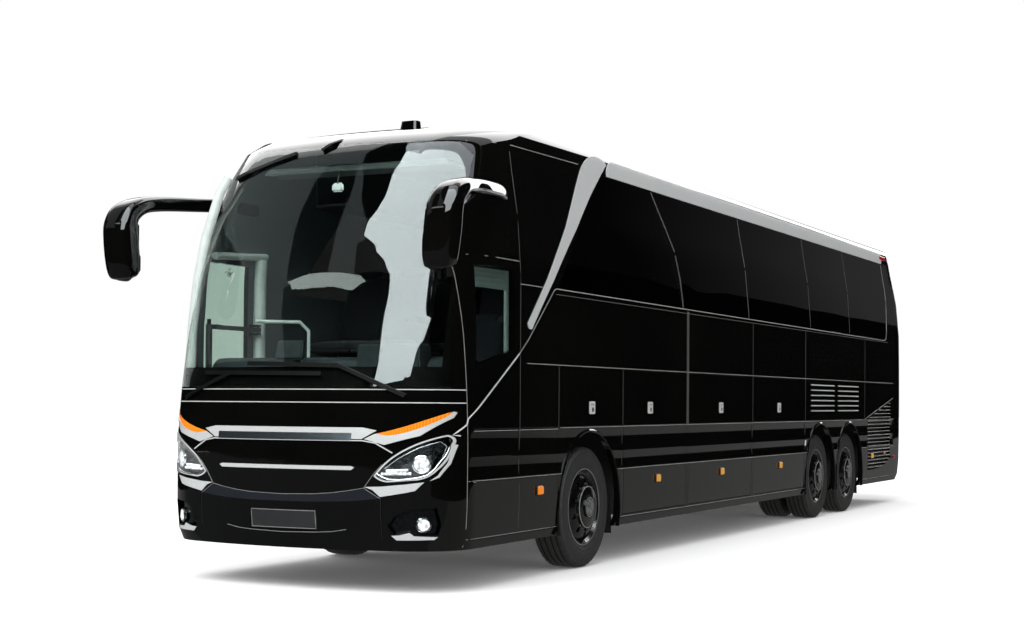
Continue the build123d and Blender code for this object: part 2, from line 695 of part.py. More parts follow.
def seat(station, floor, x0, x1):
    points = [(station + s, floor + z) for s, z in seat_profile]
    return side_prism(points, 1, x0, x1)


rows = [first_row + row_pitch * i for i in range(int((last_row - first_row) / row_pitch) + 1)]
seats = [seat(s, deck_top, aisle_half, seat_out) for s in rows]
seats += [seat(s, deck_top, -seat_out, -aisle_half) for s in rows if not mid_start - 720 < s < mid_end + 40]
seats.append(seat(1185, driver_floor, 420, 900))
parts["seats"] = Compound(seats)

# Luggage racks hang under the roof's coves, over both rows of seats.
rack_low, rack_start, rack_end = 3060, 2100, 12700
rack_profile = [(770, rack_low), (770, rack_low + 70), (785, rack_low + 70), (785, rack_low + 25),
                (1085, rack_low + 25), (1085, 3600), (1100, 3600), (1100, rack_low)]
racks = []
for side in (1, -1):
    face = make_face(Polyline([(side * x, y_at(rack_start), z) for x, z in rack_profile], close=True))
    racks.append((extrude(face, amount=rack_end - rack_start, dir=(0, 1, 0)) & room).solid())
parts["luggage_racks"] = Compound(racks)

dash_profile = [(450, driver_floor), (430, 1180), (330, 1330), (330, 1420), (720, 1440), (900, 1330), (760, 1180),
                (700, driver_floor)]
dash = side_prism(dash_profile, 1, -330, 1180) & room
dash += side_prism([(330, 1330), (330, 1420), (720, 1440), (560, 1330)], 1, -1100, -325) & room
parts["dashboard"] = dash
wheel_x, wheel_at, wheel_z, wheel_tilt = 660, 920, 1565, 32
rim_r, rim_thick = 225, 15
section = [(rim_r - rim_thick, -8), (rim_r - 6, -rim_thick), (rim_r + rim_thick, -6), (rim_r + rim_thick, 8),
           (rim_r, rim_thick)]
ring = revolve(make_face(Polyline([(x, 0, z) for x, z in section], close=True)), Axis.Z)
hub = Cylinder(62, 34) + Pos(0, 0, -20) * Box(2 * rim_r - 6, 40, 12) + Pos(0, rim_r / 2 - 10, -20) * Box(40, rim_r - 10, 12)
column = Pos(0, 0, -120) * Cylinder(32, 230)
parts["steering_wheel"] = (Pos(wheel_x, y_at(wheel_at), wheel_z) * Rot(wheel_tilt, 0, 0) * (ring + hub + column)) \
    - side_prism(dash_profile, 1, -330, 1180)

# ---- outside: mirrors, wipers, roof units, mudflaps -------------------------------------------------


# Each mirror is one moulding: an arm from behind the front pillar, swept forward and down into the head.
Ring = namedtuple("Ring", "x station z wide thick")
mirror_rings = [
    Ring(1150, 1280, 2915, 80, 120),
    Ring(1240, 1000, 2965, 90, 130),
    Ring(1315, 650, 3000, 100, 125),
    Ring(1370, 300, 3010, 120, 120),
    Ring(1396, 70, 2975, 165, 135),
    Ring(1402, -70, 2885, 205, 160),
    Ring(1400, -122, 2760, 232, 180),
    Ring(1392, -130, 2600, 240, 200),
    Ring(1388, -130, 2400, 240, 195),
    Ring(1386, -124, 2290, 222, 170),
    Ring(1386, -118, 2252, 170, 110),
]


def mirror(side):
    middles = [Vector(side * r.x, y_at(r.station), r.z) for r in mirror_rings]
    faces = []
    for i, r in enumerate(mirror_rings):
        along = middles[min(i + 1, len(middles) - 1)] - middles[max(i - 1, 0)]
        across = Vector(1, 0, 0) - along * (along.X / along.length**2)
        plane = Plane(origin=middles[i], x_dir=across, z_dir=along)
        faces.append(plane * RectangleRounded(r.wide, r.thick, 0.4 * min(r.wide, r.thick)))
    return (loft(faces, ruled=True) - body_solid(-seat_gap)).solid()


parts["mirrors"] = Compound([mirror(1), mirror(-1)])

wiper_shell = skin(-26, -seat_gap)


Wiper = namedtuple("Wiper", "pivot_x pivot_z elbow_x elbow_z tip0_x tip0_z tip1_x tip1_z")
wipers = [
    Wiper(-1004, 1400, -544, 1580, -790, 1588, 290, 1576),
    Wiper(936, 1418, 401, 1645, -364, 1652, 420, 1634),
    Wiper(0, 3385, -110, 3300, -900, 3120, -350, 3290),
]
wiper_parts = []
for w in wipers:
    one = front_prism(ribbon([(w.pivot_x, w.pivot_z), (w.elbow_x, w.elbow_z)], 26)) \
        + front_prism(ribbon([(w.tip0_x, w.tip0_z), (w.tip1_x, w.tip1_z)], 30))
    wiper_parts += (wiper_shell & one).solids()
parts["wipers"] = Compound(wiper_parts)

skirt_of_roof = body_solid(-seat_gap)
unit = loft([Pos(0, y_at(7000), 3560) * RectangleRounded(1500, 2900, 120),
             Pos(0, y_at(7000), 3640) * RectangleRounded(1460, 2820, 120),
             Pos(0, y_at(7000), 3672) * RectangleRounded(1300, 2600, 100)], ruled=True)
pod = loft([Pos(0, y_at(1830), 3550) * RectangleRounded(180, 130, 30),
            Pos(0, y_at(1840), 3692) * RectangleRounded(150, 90, 30)], ruled=True)
hatch = Pos(0, y_at(10400), 3610) * Box(700, 700, 90)
hatch_front = Pos(0, y_at(3700), 3610) * Box(700, 700, 90)
parts["roof_units"] = Compound([(u - skirt_of_roof).solid() for u in (unit, pod, hatch, hatch_front)])

mudflaps = []
for side in (1, -1):
    for at, low in ((tunnel_back, 240), (rear_tunnel_back, 200)):
        mudflaps.append(block(min(side * 960, side * 1180), max(side * 960, side * 1180), at - 12, at - seat_gap, low, 900))
parts["mudflaps"] = Compound(mudflaps)

# ---- running gear ----------------------------------------------------------------------------------
seat_radius = 300           # where the tyre sits on the rim
flange_radius = 322
bead = 112                  # half width between the rim's flanges
flange = 12
spindle_radius = 60
bore = spindle_radius + pin_play
twin_apart = track_front - twin_inner
hand_holes, hand_hole_radius, hand_hole_at = 10, 22, 226
cap_radius = 86
tyre_flats = 36
TyreRing = namedtuple("TyreRing", "out radius")
tyre_rings = [
    TyreRing(-bead, 330),
    TyreRing(-tyre_width / 2, 400),
    TyreRing(-124, 488),
    TyreRing(-98, tyre_radius),
    TyreRing(98, tyre_radius),
    TyreRing(124, 488),
    TyreRing(tyre_width / 2, 400),
    TyreRing(bead, 330),
]

# Rim profiles from the inboard flange: (outward from the tyre's middle, radius).
low_seat, high_flange = seat_radius - seat_gap, flange_radius
inner_flange = [(-bead - flange, 276), (-bead - flange, high_flange), (-bead - seat_gap, high_flange),
                (-bead - seat_gap, low_seat)]
outer_face = [(bead + seat_gap, low_seat), (bead + seat_gap, high_flange), (bead + flange, high_flange),
              (bead + flange, 306), (98, 288), (96, 276), (128, 240), (141, 205), (143, 178), (158, 176), (163, 168),
              (163, bore)]
disc_back = [(70, 150), (118, 175), (116, 205), (104, 232), (78, 262), (60, 276)]
single_rim = inner_flange + outer_face + [(-10, bore), (-10, 150)] + disc_back
twin_inboard = [(-185, bore), (-185, 250), (-200, 276), (-twin_apart - bead - flange, 276),
                (-twin_apart - bead - flange, high_flange), (-twin_apart - bead - seat_gap, high_flange),
                (-twin_apart - bead - seat_gap, low_seat), (-twin_apart + bead + seat_gap, low_seat),
                (-twin_apart + bead + seat_gap, high_flange), (-twin_apart + bead + flange, high_flange),
                (-twin_apart + bead + flange, 276), (-165, 250), (-165, 150)]
twin_rim = inner_flange + outer_face + twin_inboard + disc_back


def rim(profile, track, station, side):
    wheel = turned([(side * a, r) for a, r in profile], side * track, station)
    for i in range(hand_holes):
        turn = radians(360 / hand_holes * i)
        wheel -= cylinder_x(side * (track + 60), side * (track + 170), station + hand_hole_at * sin(turn),
                            hub_height + hand_hole_at * cos(turn), hand_hole_radius)
    return wheel + cylinder_x(side * (track + 142), side * (track + 178), station, hub_height, cap_radius)


def flats(apothem):
    return RegularPolygon(apothem, tyre_flats, major_radius=False, rotation=180 / tyre_flats)


def tyre(track, station, side):
    """A tyre drawn with flats, one of them on the ground."""
    outer = loft([Pos(0, 0, r.out) * flats(r.radius) for r in tyre_rings], ruled=True)
    ring = outer - extrude(flats(seat_radius), amount=tyre_width, both=True)
    return (Pos(side * track, y_at(station), hub_height) * Rot(0, 90, 0) * ring).solid()


for side, name in ((1, "left"), (-1, "right")):
    for axle, station in (("front", front_axle_at), ("tag", tag_axle_at)):
        parts[axle + "_wheel_" + name] = rim(single_rim, track_front, station, side)
        parts[axle + "_tyre_" + name] = tyre(track_front, station, side)
    parts["drive_wheel_" + name] = rim(twin_rim, track_front, drive_axle_at, side)
    parts["drive_tyre_" + name] = Compound([tyre(track_front, drive_axle_at, side),
                                            tyre(twin_inner, drive_axle_at, side)])

kingpin_x, boss_low, boss_high, boss_radius = 860, 410, 610, 55
kingpin_radius = 26
beam = block(-kingpin_x, kingpin_x, front_axle_at - 55, front_axle_at + 55, boss_low + 10, boss_high - 60)
for side in (1, -1):
    beam += cylinder_z(boss_low, boss_high, side * kingpin_x, front_axle_at, boss_radius)
for side in (1, -1):
    beam -= cylinder_z(boss_low - 5, boss_high + 5, side * kingpin_x, front_axle_at, kingpin_radius + pin_play)
    beam += cylinder_z(boss_high - 65, tunnel_high - seat_gap, side * 360, front_axle_at, 105)
parts["front_axle"] = beam
for side, name in ((1, "left"), (-1, "right")):
    ear = 26
    fork = cylinder_z(boss_low - 5 - ear, boss_high + 5 + ear, side * kingpin_x, front_axle_at, kingpin_radius)
    for low in (boss_low - 5 - ear, boss_high + 5):
        fork += cylinder_z(low, low + ear, side * kingpin_x, front_axle_at, boss_radius)
        fork += block(min(side * kingpin_x, side * 980), max(side * kingpin_x, side * 980), front_axle_at - 50,
                      front_axle_at + 50, low, low + ear)
    fork += block(min(side * 935, side * 985), max(side * 935, side * 985), front_axle_at - 60, front_axle_at + 60,
                  boss_low - 5 - ear, boss_high + 5 + ear)
    fork += cylinder_x(side * 980, side * (track_front + 130), front_axle_at, hub_height, spindle_radius)
    parts["knuckle_" + name] = fork

rear = cylinder_x(-(track_front + 130), track_front + 130, drive_axle_at, hub_height, spindle_radius)
rear += cylinder_x(-560, 560, drive_axle_at, hub_height, 85)
rear += Pos(0, y_at(drive_axle_at), hub_height) * Rot(0, 90, 0) * loft(
    [Pos(0, 0, z) * Circle(r) for z, r in ((-230, 90), (-90, 210), (90, 210), (230, 90))], ruled=True)
tag = cylinder_x(-(track_front + 130), track_front + 130, tag_axle_at, hub_height, spindle_radius)
tag += block(-930, 930, tag_axle_at - 60, tag_axle_at + 60, hub_height - 70, hub_height + 50)
for side in (1, -1):
    rear += cylinder_z(hub_height, tunnel_high - seat_gap, side * 360, drive_axle_at + 10, 105)
    tag += cylinder_z(hub_height, tunnel_high - seat_gap, side * 360, tag_axle_at, 105)
parts["rear_axles"] = Compound([rear.solid(), tag.solid()])

for name, shape in parts.items():
    export_step(shape, "parts/" + name + ".step")
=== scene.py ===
import json
import math

import bmesh
import bpy
import numpy as np
from mathutils import Matrix, Vector

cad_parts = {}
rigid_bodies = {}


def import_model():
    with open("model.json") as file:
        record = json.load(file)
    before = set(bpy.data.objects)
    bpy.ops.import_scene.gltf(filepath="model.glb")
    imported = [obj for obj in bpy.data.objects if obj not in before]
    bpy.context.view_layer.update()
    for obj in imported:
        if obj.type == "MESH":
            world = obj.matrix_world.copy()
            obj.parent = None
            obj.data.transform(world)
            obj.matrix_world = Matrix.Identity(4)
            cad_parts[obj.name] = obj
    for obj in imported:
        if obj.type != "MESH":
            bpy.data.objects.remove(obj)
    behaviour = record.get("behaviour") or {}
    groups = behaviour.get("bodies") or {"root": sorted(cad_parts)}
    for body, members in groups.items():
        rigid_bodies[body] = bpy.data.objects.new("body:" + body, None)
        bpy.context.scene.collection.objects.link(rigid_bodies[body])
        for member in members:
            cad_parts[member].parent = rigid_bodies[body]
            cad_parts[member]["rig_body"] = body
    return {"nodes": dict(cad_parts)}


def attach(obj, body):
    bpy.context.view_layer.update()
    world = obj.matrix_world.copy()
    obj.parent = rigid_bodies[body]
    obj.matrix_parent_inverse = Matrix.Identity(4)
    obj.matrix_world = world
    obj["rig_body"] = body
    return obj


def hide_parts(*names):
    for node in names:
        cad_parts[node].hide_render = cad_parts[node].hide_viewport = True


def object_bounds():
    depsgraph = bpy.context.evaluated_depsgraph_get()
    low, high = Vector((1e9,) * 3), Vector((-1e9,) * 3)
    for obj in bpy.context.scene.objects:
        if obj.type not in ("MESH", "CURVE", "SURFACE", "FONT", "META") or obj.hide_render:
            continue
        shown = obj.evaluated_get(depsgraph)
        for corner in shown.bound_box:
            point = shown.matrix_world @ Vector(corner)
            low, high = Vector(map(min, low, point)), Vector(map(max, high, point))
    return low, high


# Touring coach. Metres; +X is the coach's left, its front faces -Y, +Z is up.
# A station runs rearwards from the front bumper, as it does in the part's source.

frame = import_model()
cadLow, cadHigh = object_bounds()
print("stage: frame loaded,", len(frame["nodes"]), "nodes")

coachSize = {
    "bodyLength": 13.93,
    "frontBow": 3.5,  # plan radius of the front face
    "rearBow": 20.0,
    "rearCorner": 0.24,
    "roofEdgeRadius": 0.25,
    "roofEdgeX": 0.9945,
    "roofEdgeZ": 3.325,
    "crownSlope": math.radians(6),
    "frontAxle": 2.67,
    "driveAxle": 9.63,
    "tagAxle": 10.98,
    "hubHeight": 0.505,
}
frontY = cadHigh.y - coachSize["bodyLength"]

# z, nose, half width, front corner radius, tail: how the plan outline changes with height
bodySections = np.array([
    (0.310, 0.070, 1.235, 0.440, 0.110),
    (0.400, 0.025, 1.262, 0.480, 0.060),
    (0.600, 0.000, 1.271, 0.500, 0.020),
    (1.100, 0.000, 1.274, 0.500, 0.000),
    (1.450, 0.045, 1.275, 0.500, 0.000),
    (1.900, 0.125, 1.275, 0.500, 0.010),
    (2.350, 0.235, 1.274, 0.520, 0.030),
    (2.800, 0.385, 1.243, 0.550, 0.080),
    (3.150, 0.560, 1.188, 0.560, 0.150),
    (3.350, 0.720, 1.163, 0.560, 0.210),
    (3.450, 0.920, 1.151, 0.540, 0.260),
    (3.550, 1.380, 1.140, 0.500, 0.330),
    (3.650, 2.200, 1.128, 0.450, 0.430),
])


# The side's two pressed flutes: centre height, radius, depth. They run from the front corner to the rear.
pressedFlutes = ((1.070, 0.600, 0.008), (0.893, 0.480, 0.008))
fluteRun = (0.505, 13.325)


def stationY(station):
    return frontY + station


# The body's surface, as a distance that is zero on the paint.
fineZ = np.arange(0.0, 4.0, 0.005)
ruledRows = np.array([np.interp(fineZ, bodySections[:, 0], bodySections[:, k]) for k in range(1, 5)])
easing = np.ones(31) / 31  # 15 cm, so that reflections run on over the joins between sections
easedRows = ruledRows.copy()
for easeTurn in range(2):
    padded = np.pad(easedRows, ((0, 0), (15, 15)), mode="edge")
    easedRows = np.array([np.convolve(row, easing, mode="valid") for row in padded])


def planDistance(x, station, z, rows):
    nose, half, corner, tail = [np.interp(z, fineZ, row) for row in rows]

    def oneEnd(depth, start, bow, radius):
        side = np.abs(x)
        centreX = half - radius
        span = np.sqrt((bow - radius) ** 2 - centreX**2)
        centreD = start + bow - span
        onBow = side * span < centreX * (start + bow - depth)
        bowDistance = np.hypot(side, depth - start - bow) - bow
        cornerDistance = np.hypot(side - centreX, depth - centreD) - radius
        return np.where(onBow, bowDistance, np.where(depth < centreD, cornerDistance, side - half))

    front = oneEnd(station, nose, coachSize["frontBow"], corner)
    rear = oneEnd(coachSize["bodyLength"] - station, tail, coachSize["rearBow"],
                  np.full_like(x, coachSize["rearCorner"]))
    return np.where(station < coachSize["bodyLength"] / 2, front, rear)


def roofDistance(x, z):
    edgeX, edgeZ, radius = coachSize["roofEdgeX"], coachSize["roofEdgeZ"], coachSize["roofEdgeRadius"]
    slope = coachSize["crownSlope"]
    joinX, joinZ = edgeX + radius * math.sin(slope), edgeZ + radius * math.cos(slope)
    crown = joinX / math.sin(slope)
    centreZ = joinZ - crown * math.cos(slope)
    side = np.abs(x)
    onCrown = side * math.cos(slope) < (z - centreZ) * math.sin(slope)
    below = np.maximum(edgeZ - z, 0)
    edge = np.where(z > edgeZ, np.hypot(side - edgeX, z - edgeZ), side - edgeX - below) - radius
    return np.where(onCrown, np.hypot(side, z - centreZ) - crown, edge)


def skinDistance(x, station, z, rows=ruledRows, ease=0.0):
    plan, roof = planDistance(x, station, z, rows), roofDistance(x, z)
    if not ease:
        return np.maximum(plan, roof)
    overlap = np.maximum(ease - np.abs(plan - roof), 0) / ease
    return np.maximum(plan, roof) + overlap**2 * ease / 4


def fluteShape(station, z):
    depth, slope = np.zeros_like(z), np.zeros_like(z)
    for centre, radius, deep in pressedFlutes:
        rise = z - centre
        span = np.sqrt(np.maximum(radius**2 - rise**2, 1e-9))
        here = span - (radius - deep)
        slope = np.where(here > depth, -rise / span, slope)
        depth = np.maximum(depth, here)
    onRun = (station > fluteRun[0]) & (station < fluteRun[1])
    return np.where(onRun, depth, 0.0), np.where(onRun, slope, 0.0)


def skinNormals(points, inside):
    x, station, z = points[:, 0], points[:, 1] - frontY, points[:, 2]
    near, tall = 0.004, 0.012

    def slopeAlong(dx, ds, dz, step):
        ahead = skinDistance(x + dx * step, station + ds * step, z + dz * step, easedRows, 0.06)
        behind = skinDistance(x - dx * step, station - ds * step, z - dz * step, easedRows, 0.06)
        return (ahead - behind) / (2 * step)

    normals = np.stack([slopeAlong(1, 0, 0, near), slopeAlong(0, 1, 0, near), slopeAlong(0, 0, 1, tall)], 1)
    normals /= np.linalg.norm(normals, axis=1)[:, None]
    pressed = fluteShape(inside[:, 1] - frontY, inside[:, 2])[1]
    normals[:, 2] += np.where(np.abs(normals[:, 0]) > 0.7, pressed, 0.0)
    return normals / np.linalg.norm(normals, axis=1)[:, None]


def skinAt(x, station, z):
    return skinDistance(np.array([x]), np.array([station]), np.array([z]))[0]


def crossing(excess, low, high):  # where the excess turns from negative to positive
    for halving in range(30):
        middle = (low + high) / 2
        low, high = (middle, high) if excess(middle) < 0 else (low, middle)
    return (low + high) / 2


def frontStation(x, z, lift=0.0):
    return crossing(lambda station: lift - skinAt(x, station, z), -0.4, 4.0)


def onSide(side, station, z, lift=0.0):
    pressed = float(fluteShape(np.array([station]), np.array([z]))[0][0])
    x = crossing(lambda half: skinAt(half, station, z) - lift, 0.6, 1.7)
    return Vector((side * (x - pressed), stationY(station), z))


def onFront(x, z, lift=0.0):
    return Vector((x, stationY(frontStation(x, z, lift)), z))


def onRear(x, z, lift=0.0):
    return Vector((x, stationY(crossing(lambda station: skinAt(x, station, z) - lift, 12.0, 14.2)), z))


# Materials. One function turns sRGB hex to linear, one adds a node, one makes a finish from the table.
def linear(hexColour):
    channels = [int(hexColour[i:i + 2], 16) / 255 for i in (1, 3, 5)]
    return tuple(c / 12.92 if c <= 0.04045 else ((c + 0.055) / 1.055) ** 2.4 for c in channels) + (1.0,)


def addNode(tree, kind, settings=None, links=None):
    node = tree.nodes.new(kind)
    for name, value in (settings or {}).items():
        if name in node.inputs.keys() or isinstance(name, int):
            node.inputs[name].default_value = value
        else:
            setattr(node, name, value)
    for name, source in (links or {}).items():
        tree.links.new(source, node.inputs[name])
    return node


# Each finish: the shader's sockets, the mottle of its colour (grain in mm, detail, share of low and of high tone)
# and its relief (grain in mm, detail, depth in metres, strength). A texture stands in for the mottle's noise.
finishes = {
    # Sprayed acrylic enamel under clear lacquer: deep, sharp reflections, a faint orange peel.
    # The peel is 3 mm wide and is drawn far coarser, as waviness.
    "enamel": {"sockets": {"Roughness": 0.03, "IOR": 1.5, "Coat Weight": 0.0},
               "mottle": (900, 2, 0.3, 0.7), "relief": (140, 1, 0.00006, 0.5)},
    # Toughened or laminated glass, tinted in the mass: clean reflections, a faint green or grey cast.
    "glass": {"sockets": {"Roughness": 0.0, "IOR": 1.5, "Transmission Weight": 1.0}, "mottle": (900, 1, 0.3, 0.7)},
    # ABS, moulded with a fine spark-eroded grain: soft broad highlights.
    "abs": {"sockets": {"Roughness": 0.45, "IOR": 1.53, "Specular IOR Level": 0.5},
            "mottle": (60, 2, 0.3, 0.7), "relief": (3, 3, 0.0001, 0.4)},
    # Aluminium-flake lacquer on trim: pale silver with a fine sparkle and a soft sheen.
    "flake": {"sockets": {"Metallic": 0.35, "Roughness": 0.25, "Coat Weight": 0.6, "Coat Roughness": 0.03},
              "mottle": (6, 3, 0.35, 0.65)},
    # Bright-plated ABS and silvered glass: mirror-like bars and rims.
    "plate": {"sockets": {"Metallic": 1.0, "Roughness": 0.12}, "mottle": (20, 3, 0.3, 0.7)},
    # Vulcanised tyre rubber: charcoal, dull, lightly dusted.
    "rubber": {"sockets": {"Roughness": 0.62, "IOR": 1.5}, "mottle": (40, 4, 0.3, 0.7),
               "relief": (5, 3, 0.0003, 0.3)},
    # Pressed steel in powder coat: satin, slightly textured.
    "powder": {"sockets": {"Roughness": 0.35, "IOR": 1.5, "Coat Weight": 0.3, "Coat Roughness": 0.2},
               "mottle": (30, 3, 0.3, 0.7), "relief": (4, 3, 0.0001, 0.3)},
    # Woven wool plush over foam: soft, with a weave; its dark colour is partly the fabric's own, partly painted shade
    # of the dim cabin. The yarn is 3 mm wide and is drawn at 9.
    "plush": {"sockets": {"Roughness": 0.9, "Sheen Weight": 0.1, "Specular IOR Level": 0.1},
              "texture": ("ShaderNodeTexChecker", {"Scale": 1000 / 9}, "Fac", 0.0, 1.0), "weave": (0.0006, 0.4)},
    # Needle-felt lining: matt, with a short nap.
    "felt": {"sockets": {"Roughness": 0.85, "Specular IOR Level": 0.1}, "mottle": (12, 3, 0.3, 0.7),
             "relief": (6, 3, 0.0004, 0.3)},
    # Injection-moulded acrylic lamp lens, coloured in the mass, with a fluted back.
    "lens": {"sockets": {"Roughness": 0.08, "IOR": 1.49, "Transmission Weight": 0.1},
             "texture": ("ShaderNodeTexWave", {"Scale": 1000 / 60, "bands_direction": "X"}, "Fac", 0.2, 0.8)},
    # Polycarbonate lamp cover: water-clear with a hard coat.
    "cover": {"sockets": {"Roughness": 0.0, "IOR": 1.45, "Transmission Weight": 1.0}, "mottle": (300, 1, 0.3, 0.7)},
    # Lit lamp lens: moulded clear acrylic over a white source, bright with darker flute lines.
    "lit": {"sockets": {"Roughness": 0.1, "IOR": 1.49, "Emission Strength": 0.55},
            "texture": ("ShaderNodeTexVoronoi", {"Scale": 1000 / 22}, "Distance", 0.1, 0.8)},
    # Cast alloy, bead-blasted: pale, mottled, half matt.
    "cast": {"sockets": {"Metallic": 0.9, "Roughness": 0.42}, "mottle": (28, 5, 0.35, 0.65), "mottleRoughness": 0.7,
             "relief": (9, 3, 0.0006, 0.5)},
}


def surface(kind, name, low, high, sockets=None, grainMm=None, mottleMm=None):
    finish = finishes[kind]
    material = bpy.data.materials.new(name)
    material.use_nodes = True
    tree = material.node_tree
    shader = tree.nodes["Principled BSDF"]
    for socket, value in {**finish["sockets"], **(sockets or {})}.items():
        shader.inputs[socket].default_value = value
    coords = addNode(tree, "ShaderNodeTexCoord").outputs["Object"]
    if "texture" in finish:
        node, settings, outlet, start, end = finish["texture"]
    else:
        size, detail, start, end = finish["mottle"]
        node, outlet = "ShaderNodeTexNoise", "Fac"
        settings = {"Scale": 1000 / (mottleMm or size), "Detail": detail,
                    "Roughness": finish.get("mottleRoughness", 0.5)}
    pattern = addNode(tree, node, settings, {"Vector": coords}).outputs[outlet]
    ramp = addNode(tree, "ShaderNodeValToRGB", links={0: pattern})
    for element, position, colour in zip(ramp.color_ramp.elements, (start, end), (low, high)):
        element.position, element.color = position, linear(colour)
    tree.links.new(ramp.outputs[0], shader.inputs["Base Color"])
    if kind == "lit":
        tree.links.new(ramp.outputs[0], shader.inputs["Emission Color"])
    if "relief" in finish:
        size, detail, depth, strength = finish["relief"]
        height = addNode(tree, "ShaderNodeTexNoise", {"Scale": 1000 / (grainMm or size), "Detail": detail,
                                                      "Roughness": 0.5}, {"Vector": coords}).outputs["Fac"]
    elif "weave" in finish:
        (depth, strength), height = finish["weave"], pattern
    else:
        return material
    bump = addNode(tree, "ShaderNodeBump", {"Distance": depth, "Strength": strength}, {"Height": height})
    tree.links.new(bump.outputs[0], shader.inputs["Normal"])
    return material


paint = surface("enamel", "lacqueredBlackEnamel", "#040404", "#070706")
# Slate grey on the bumper shelf: a painted reflection of the sky on black paint.
paintedReflectionSlate = surface("enamel", "paintedSkyReflectionSlate", "#15181c", "#1c2025")
glossBlack = surface("enamel", "glossBlackMoulding", "#040404", "#070706", grainMm=40)
tinted = surface("glass", "privacyToughenedGlass", "#1d1d1c", "#222322", mottleMm=1200)
screenGlass = surface("glass", "laminatedScreenGlass", "#dbe5e0", "#e0e9e4")
doorGlass = surface("glass", "greenToughenedGlass", "#b9cfc4", "#c2d6cc")
driverGlass = surface("glass", "clearToughenedGlass", "#a9b5b1", "#b2bdb9")
blackAbs = surface("abs", "grainedBlackAbs", "#101010", "#181818")
wiperBlack = surface("abs", "mattBlackWiperSteel", "#050505", "#090909",
                     {"Roughness": 0.55, "Specular IOR Level": 0.12})
dashVinyl = surface("abs", "softDashVinyl", "#1c2325", "#252c2e", {"Roughness": 0.6, "Specular IOR Level": 0.15}, 4)
ceramicBand = surface("abs", "ceramicScreenBand", "#040404", "#060606",
                      {"Roughness": 0.4, "Specular IOR Level": 0.05})
greyTrim = surface("abs", "greyTrimAbs", "#4d5555", "#5a6262", {"Roughness": 0.5})
paleTrim = surface("abs", "paleGreyAbs", "#b9c2be", "#c6ceca", {"Roughness": 0.5})
lockPlate = surface("abs", "greyLockMoulding", "#a2a3a1", "#b0b1af", {"Roughness": 0.4})
paintedHighlightLouvre = surface("abs", "paintedHighlightLouvreGrey", "#6c6d6c", "#787978", {"Roughness": 0.4})
paneSeal = surface("abs", "greyPaneSealant", "#373736", "#424241", {"Roughness": 0.6})
# Pale grey beads on the joints, creases, slat noses, plate rims and wheel rims: painted highlights, for the light their
# edges catch.
paintedHighlightBead = surface("abs", "paintedHighlightGreyAbs", "#6b6b69", "#7b7b78", {"Roughness": 0.35}, 4)
# Brighter beads on the swoosh and the cowl lines: painted highlights.
paintedBrightHighlightBead = surface("abs", "paintedBrightHighlightAbs", "#a9aba9", "#bcbebc", {"Roughness": 0.3}, 4)
# Dim grey beads: a painted highlight on the upright shut lines, and a painted shadow line under the panes' foot.
paintedDimHighlightAndShadowBead = surface("abs", "paintedDimHighlightAndShadowAbs", "#3a3a39", "#454544", {"Roughness": 0.4}, 4)
plateFace = surface("abs", "embossedPlateSheet", "#1b1c1d", "#202122", {"Roughness": 0.5}, 2)
silver = surface("flake", "silverFlakeLacquer", "#c6c9c9", "#d6d9d9")
chrome = surface("plate", "brightChromePlate", "#d3d5d6", "#e2e3e4")
lampChrome = surface("plate", "smokedReflectorPlate", "#2e3133", "#4c5052", {"Roughness": 0.2})
gripInset = surface("plate", "brushedGripInset", "#8b949a", "#969fa5", {"Roughness": 0.3})
mirrorSilver = surface("plate", "silveredMirrorGlass", "#d9dcde", "#dfe2e4", {"Roughness": 0.02})
rubber = surface("rubber", "vulcanisedTyreRubber", "#1f1f1e", "#2b2a29")
wornRubber = surface("rubber", "scuffedTyreShoulder", "#383836", "#454542")
nutSteel = surface("powder", "blackZincNutSteel", "#101011", "#1a1a1b", {"Roughness": 0.3})
rimCoat = surface("powder", "glossBlackRimCoat", "#060606", "#0a0a0a", {"Roughness": 0.16})
chassisCoat = surface("powder", "chassisPowderCoat", "#1c1c1d", "#262627", {"Roughness": 0.5})
capAlloy = surface("cast", "blastedCastAlloy", "#6d6f70", "#c9cbcc")
# The seats' plush and the dark felt of the cab floor and front panel are partly their own dark colour, partly painted
# shade: their colours are lowered for the dim cabin.
plush = surface("plush", "wovenWoolPlush", "#15171b", "#202329")
lining = surface("felt", "greyNeedleFelt", "#434a4d", "#4e5558")
darkShadedLining = surface("felt", "darkShadedNeedleFelt", "#121416", "#191b1e")
blindCloth = surface("felt", "paleBlindCloth", "#c3cfcc", "#cfdad7")
amber = surface("lens", "amberAcrylicLens", "#e8740c", "#f2912a")
markerAmber = surface("lens", "amberMarkerLens", "#cf8a2e", "#dca045")
red = surface("lens", "redAcrylicLens", "#8e0a08", "#b8140f", {"Transmission Weight": 0.15})
clear = surface("cover", "hardCoatedPolycarbonate", "#f2f4f5", "#f6f8f9")
lensGlow = surface("lit", "litAcrylicLens", "#ffffff", "#8d9296")
print("stage: materials made")
def capped(nodeName):
    words = nodeName.split("_")
    return words[0] + "".join(w.capitalize() for w in words[1:])


def addPiece(name, mesh, body, replaced=()):
    piece = bpy.data.objects.new(name, mesh)
    bpy.context.scene.collection.objects.link(piece)
    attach(piece, body)
    if replaced:
        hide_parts(*replaced)
    return piece


def bodyOf(nodeName):
    return frame["nodes"][nodeName]["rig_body"]


def addSheet(name, vertices, faces, material, body="coach", smooth=False):  # a piece from plain lists
    mesh = bpy.data.meshes.new(name)
    mesh.from_pydata([tuple(v) for v in vertices], [], faces)
    for polygon in mesh.polygons:
        polygon.use_smooth = smooth
    mesh.materials.append(material)
    return addPiece(name, mesh, body)


def gridFaces(wide, tall):  # quads over rows of points, wide to a row
    return [(r * wide + c, r * wide + c + 1, (r + 1) * wide + c + 1, (r + 1) * wide + c)
            for r in range(tall - 1) for c in range(wide - 1)]


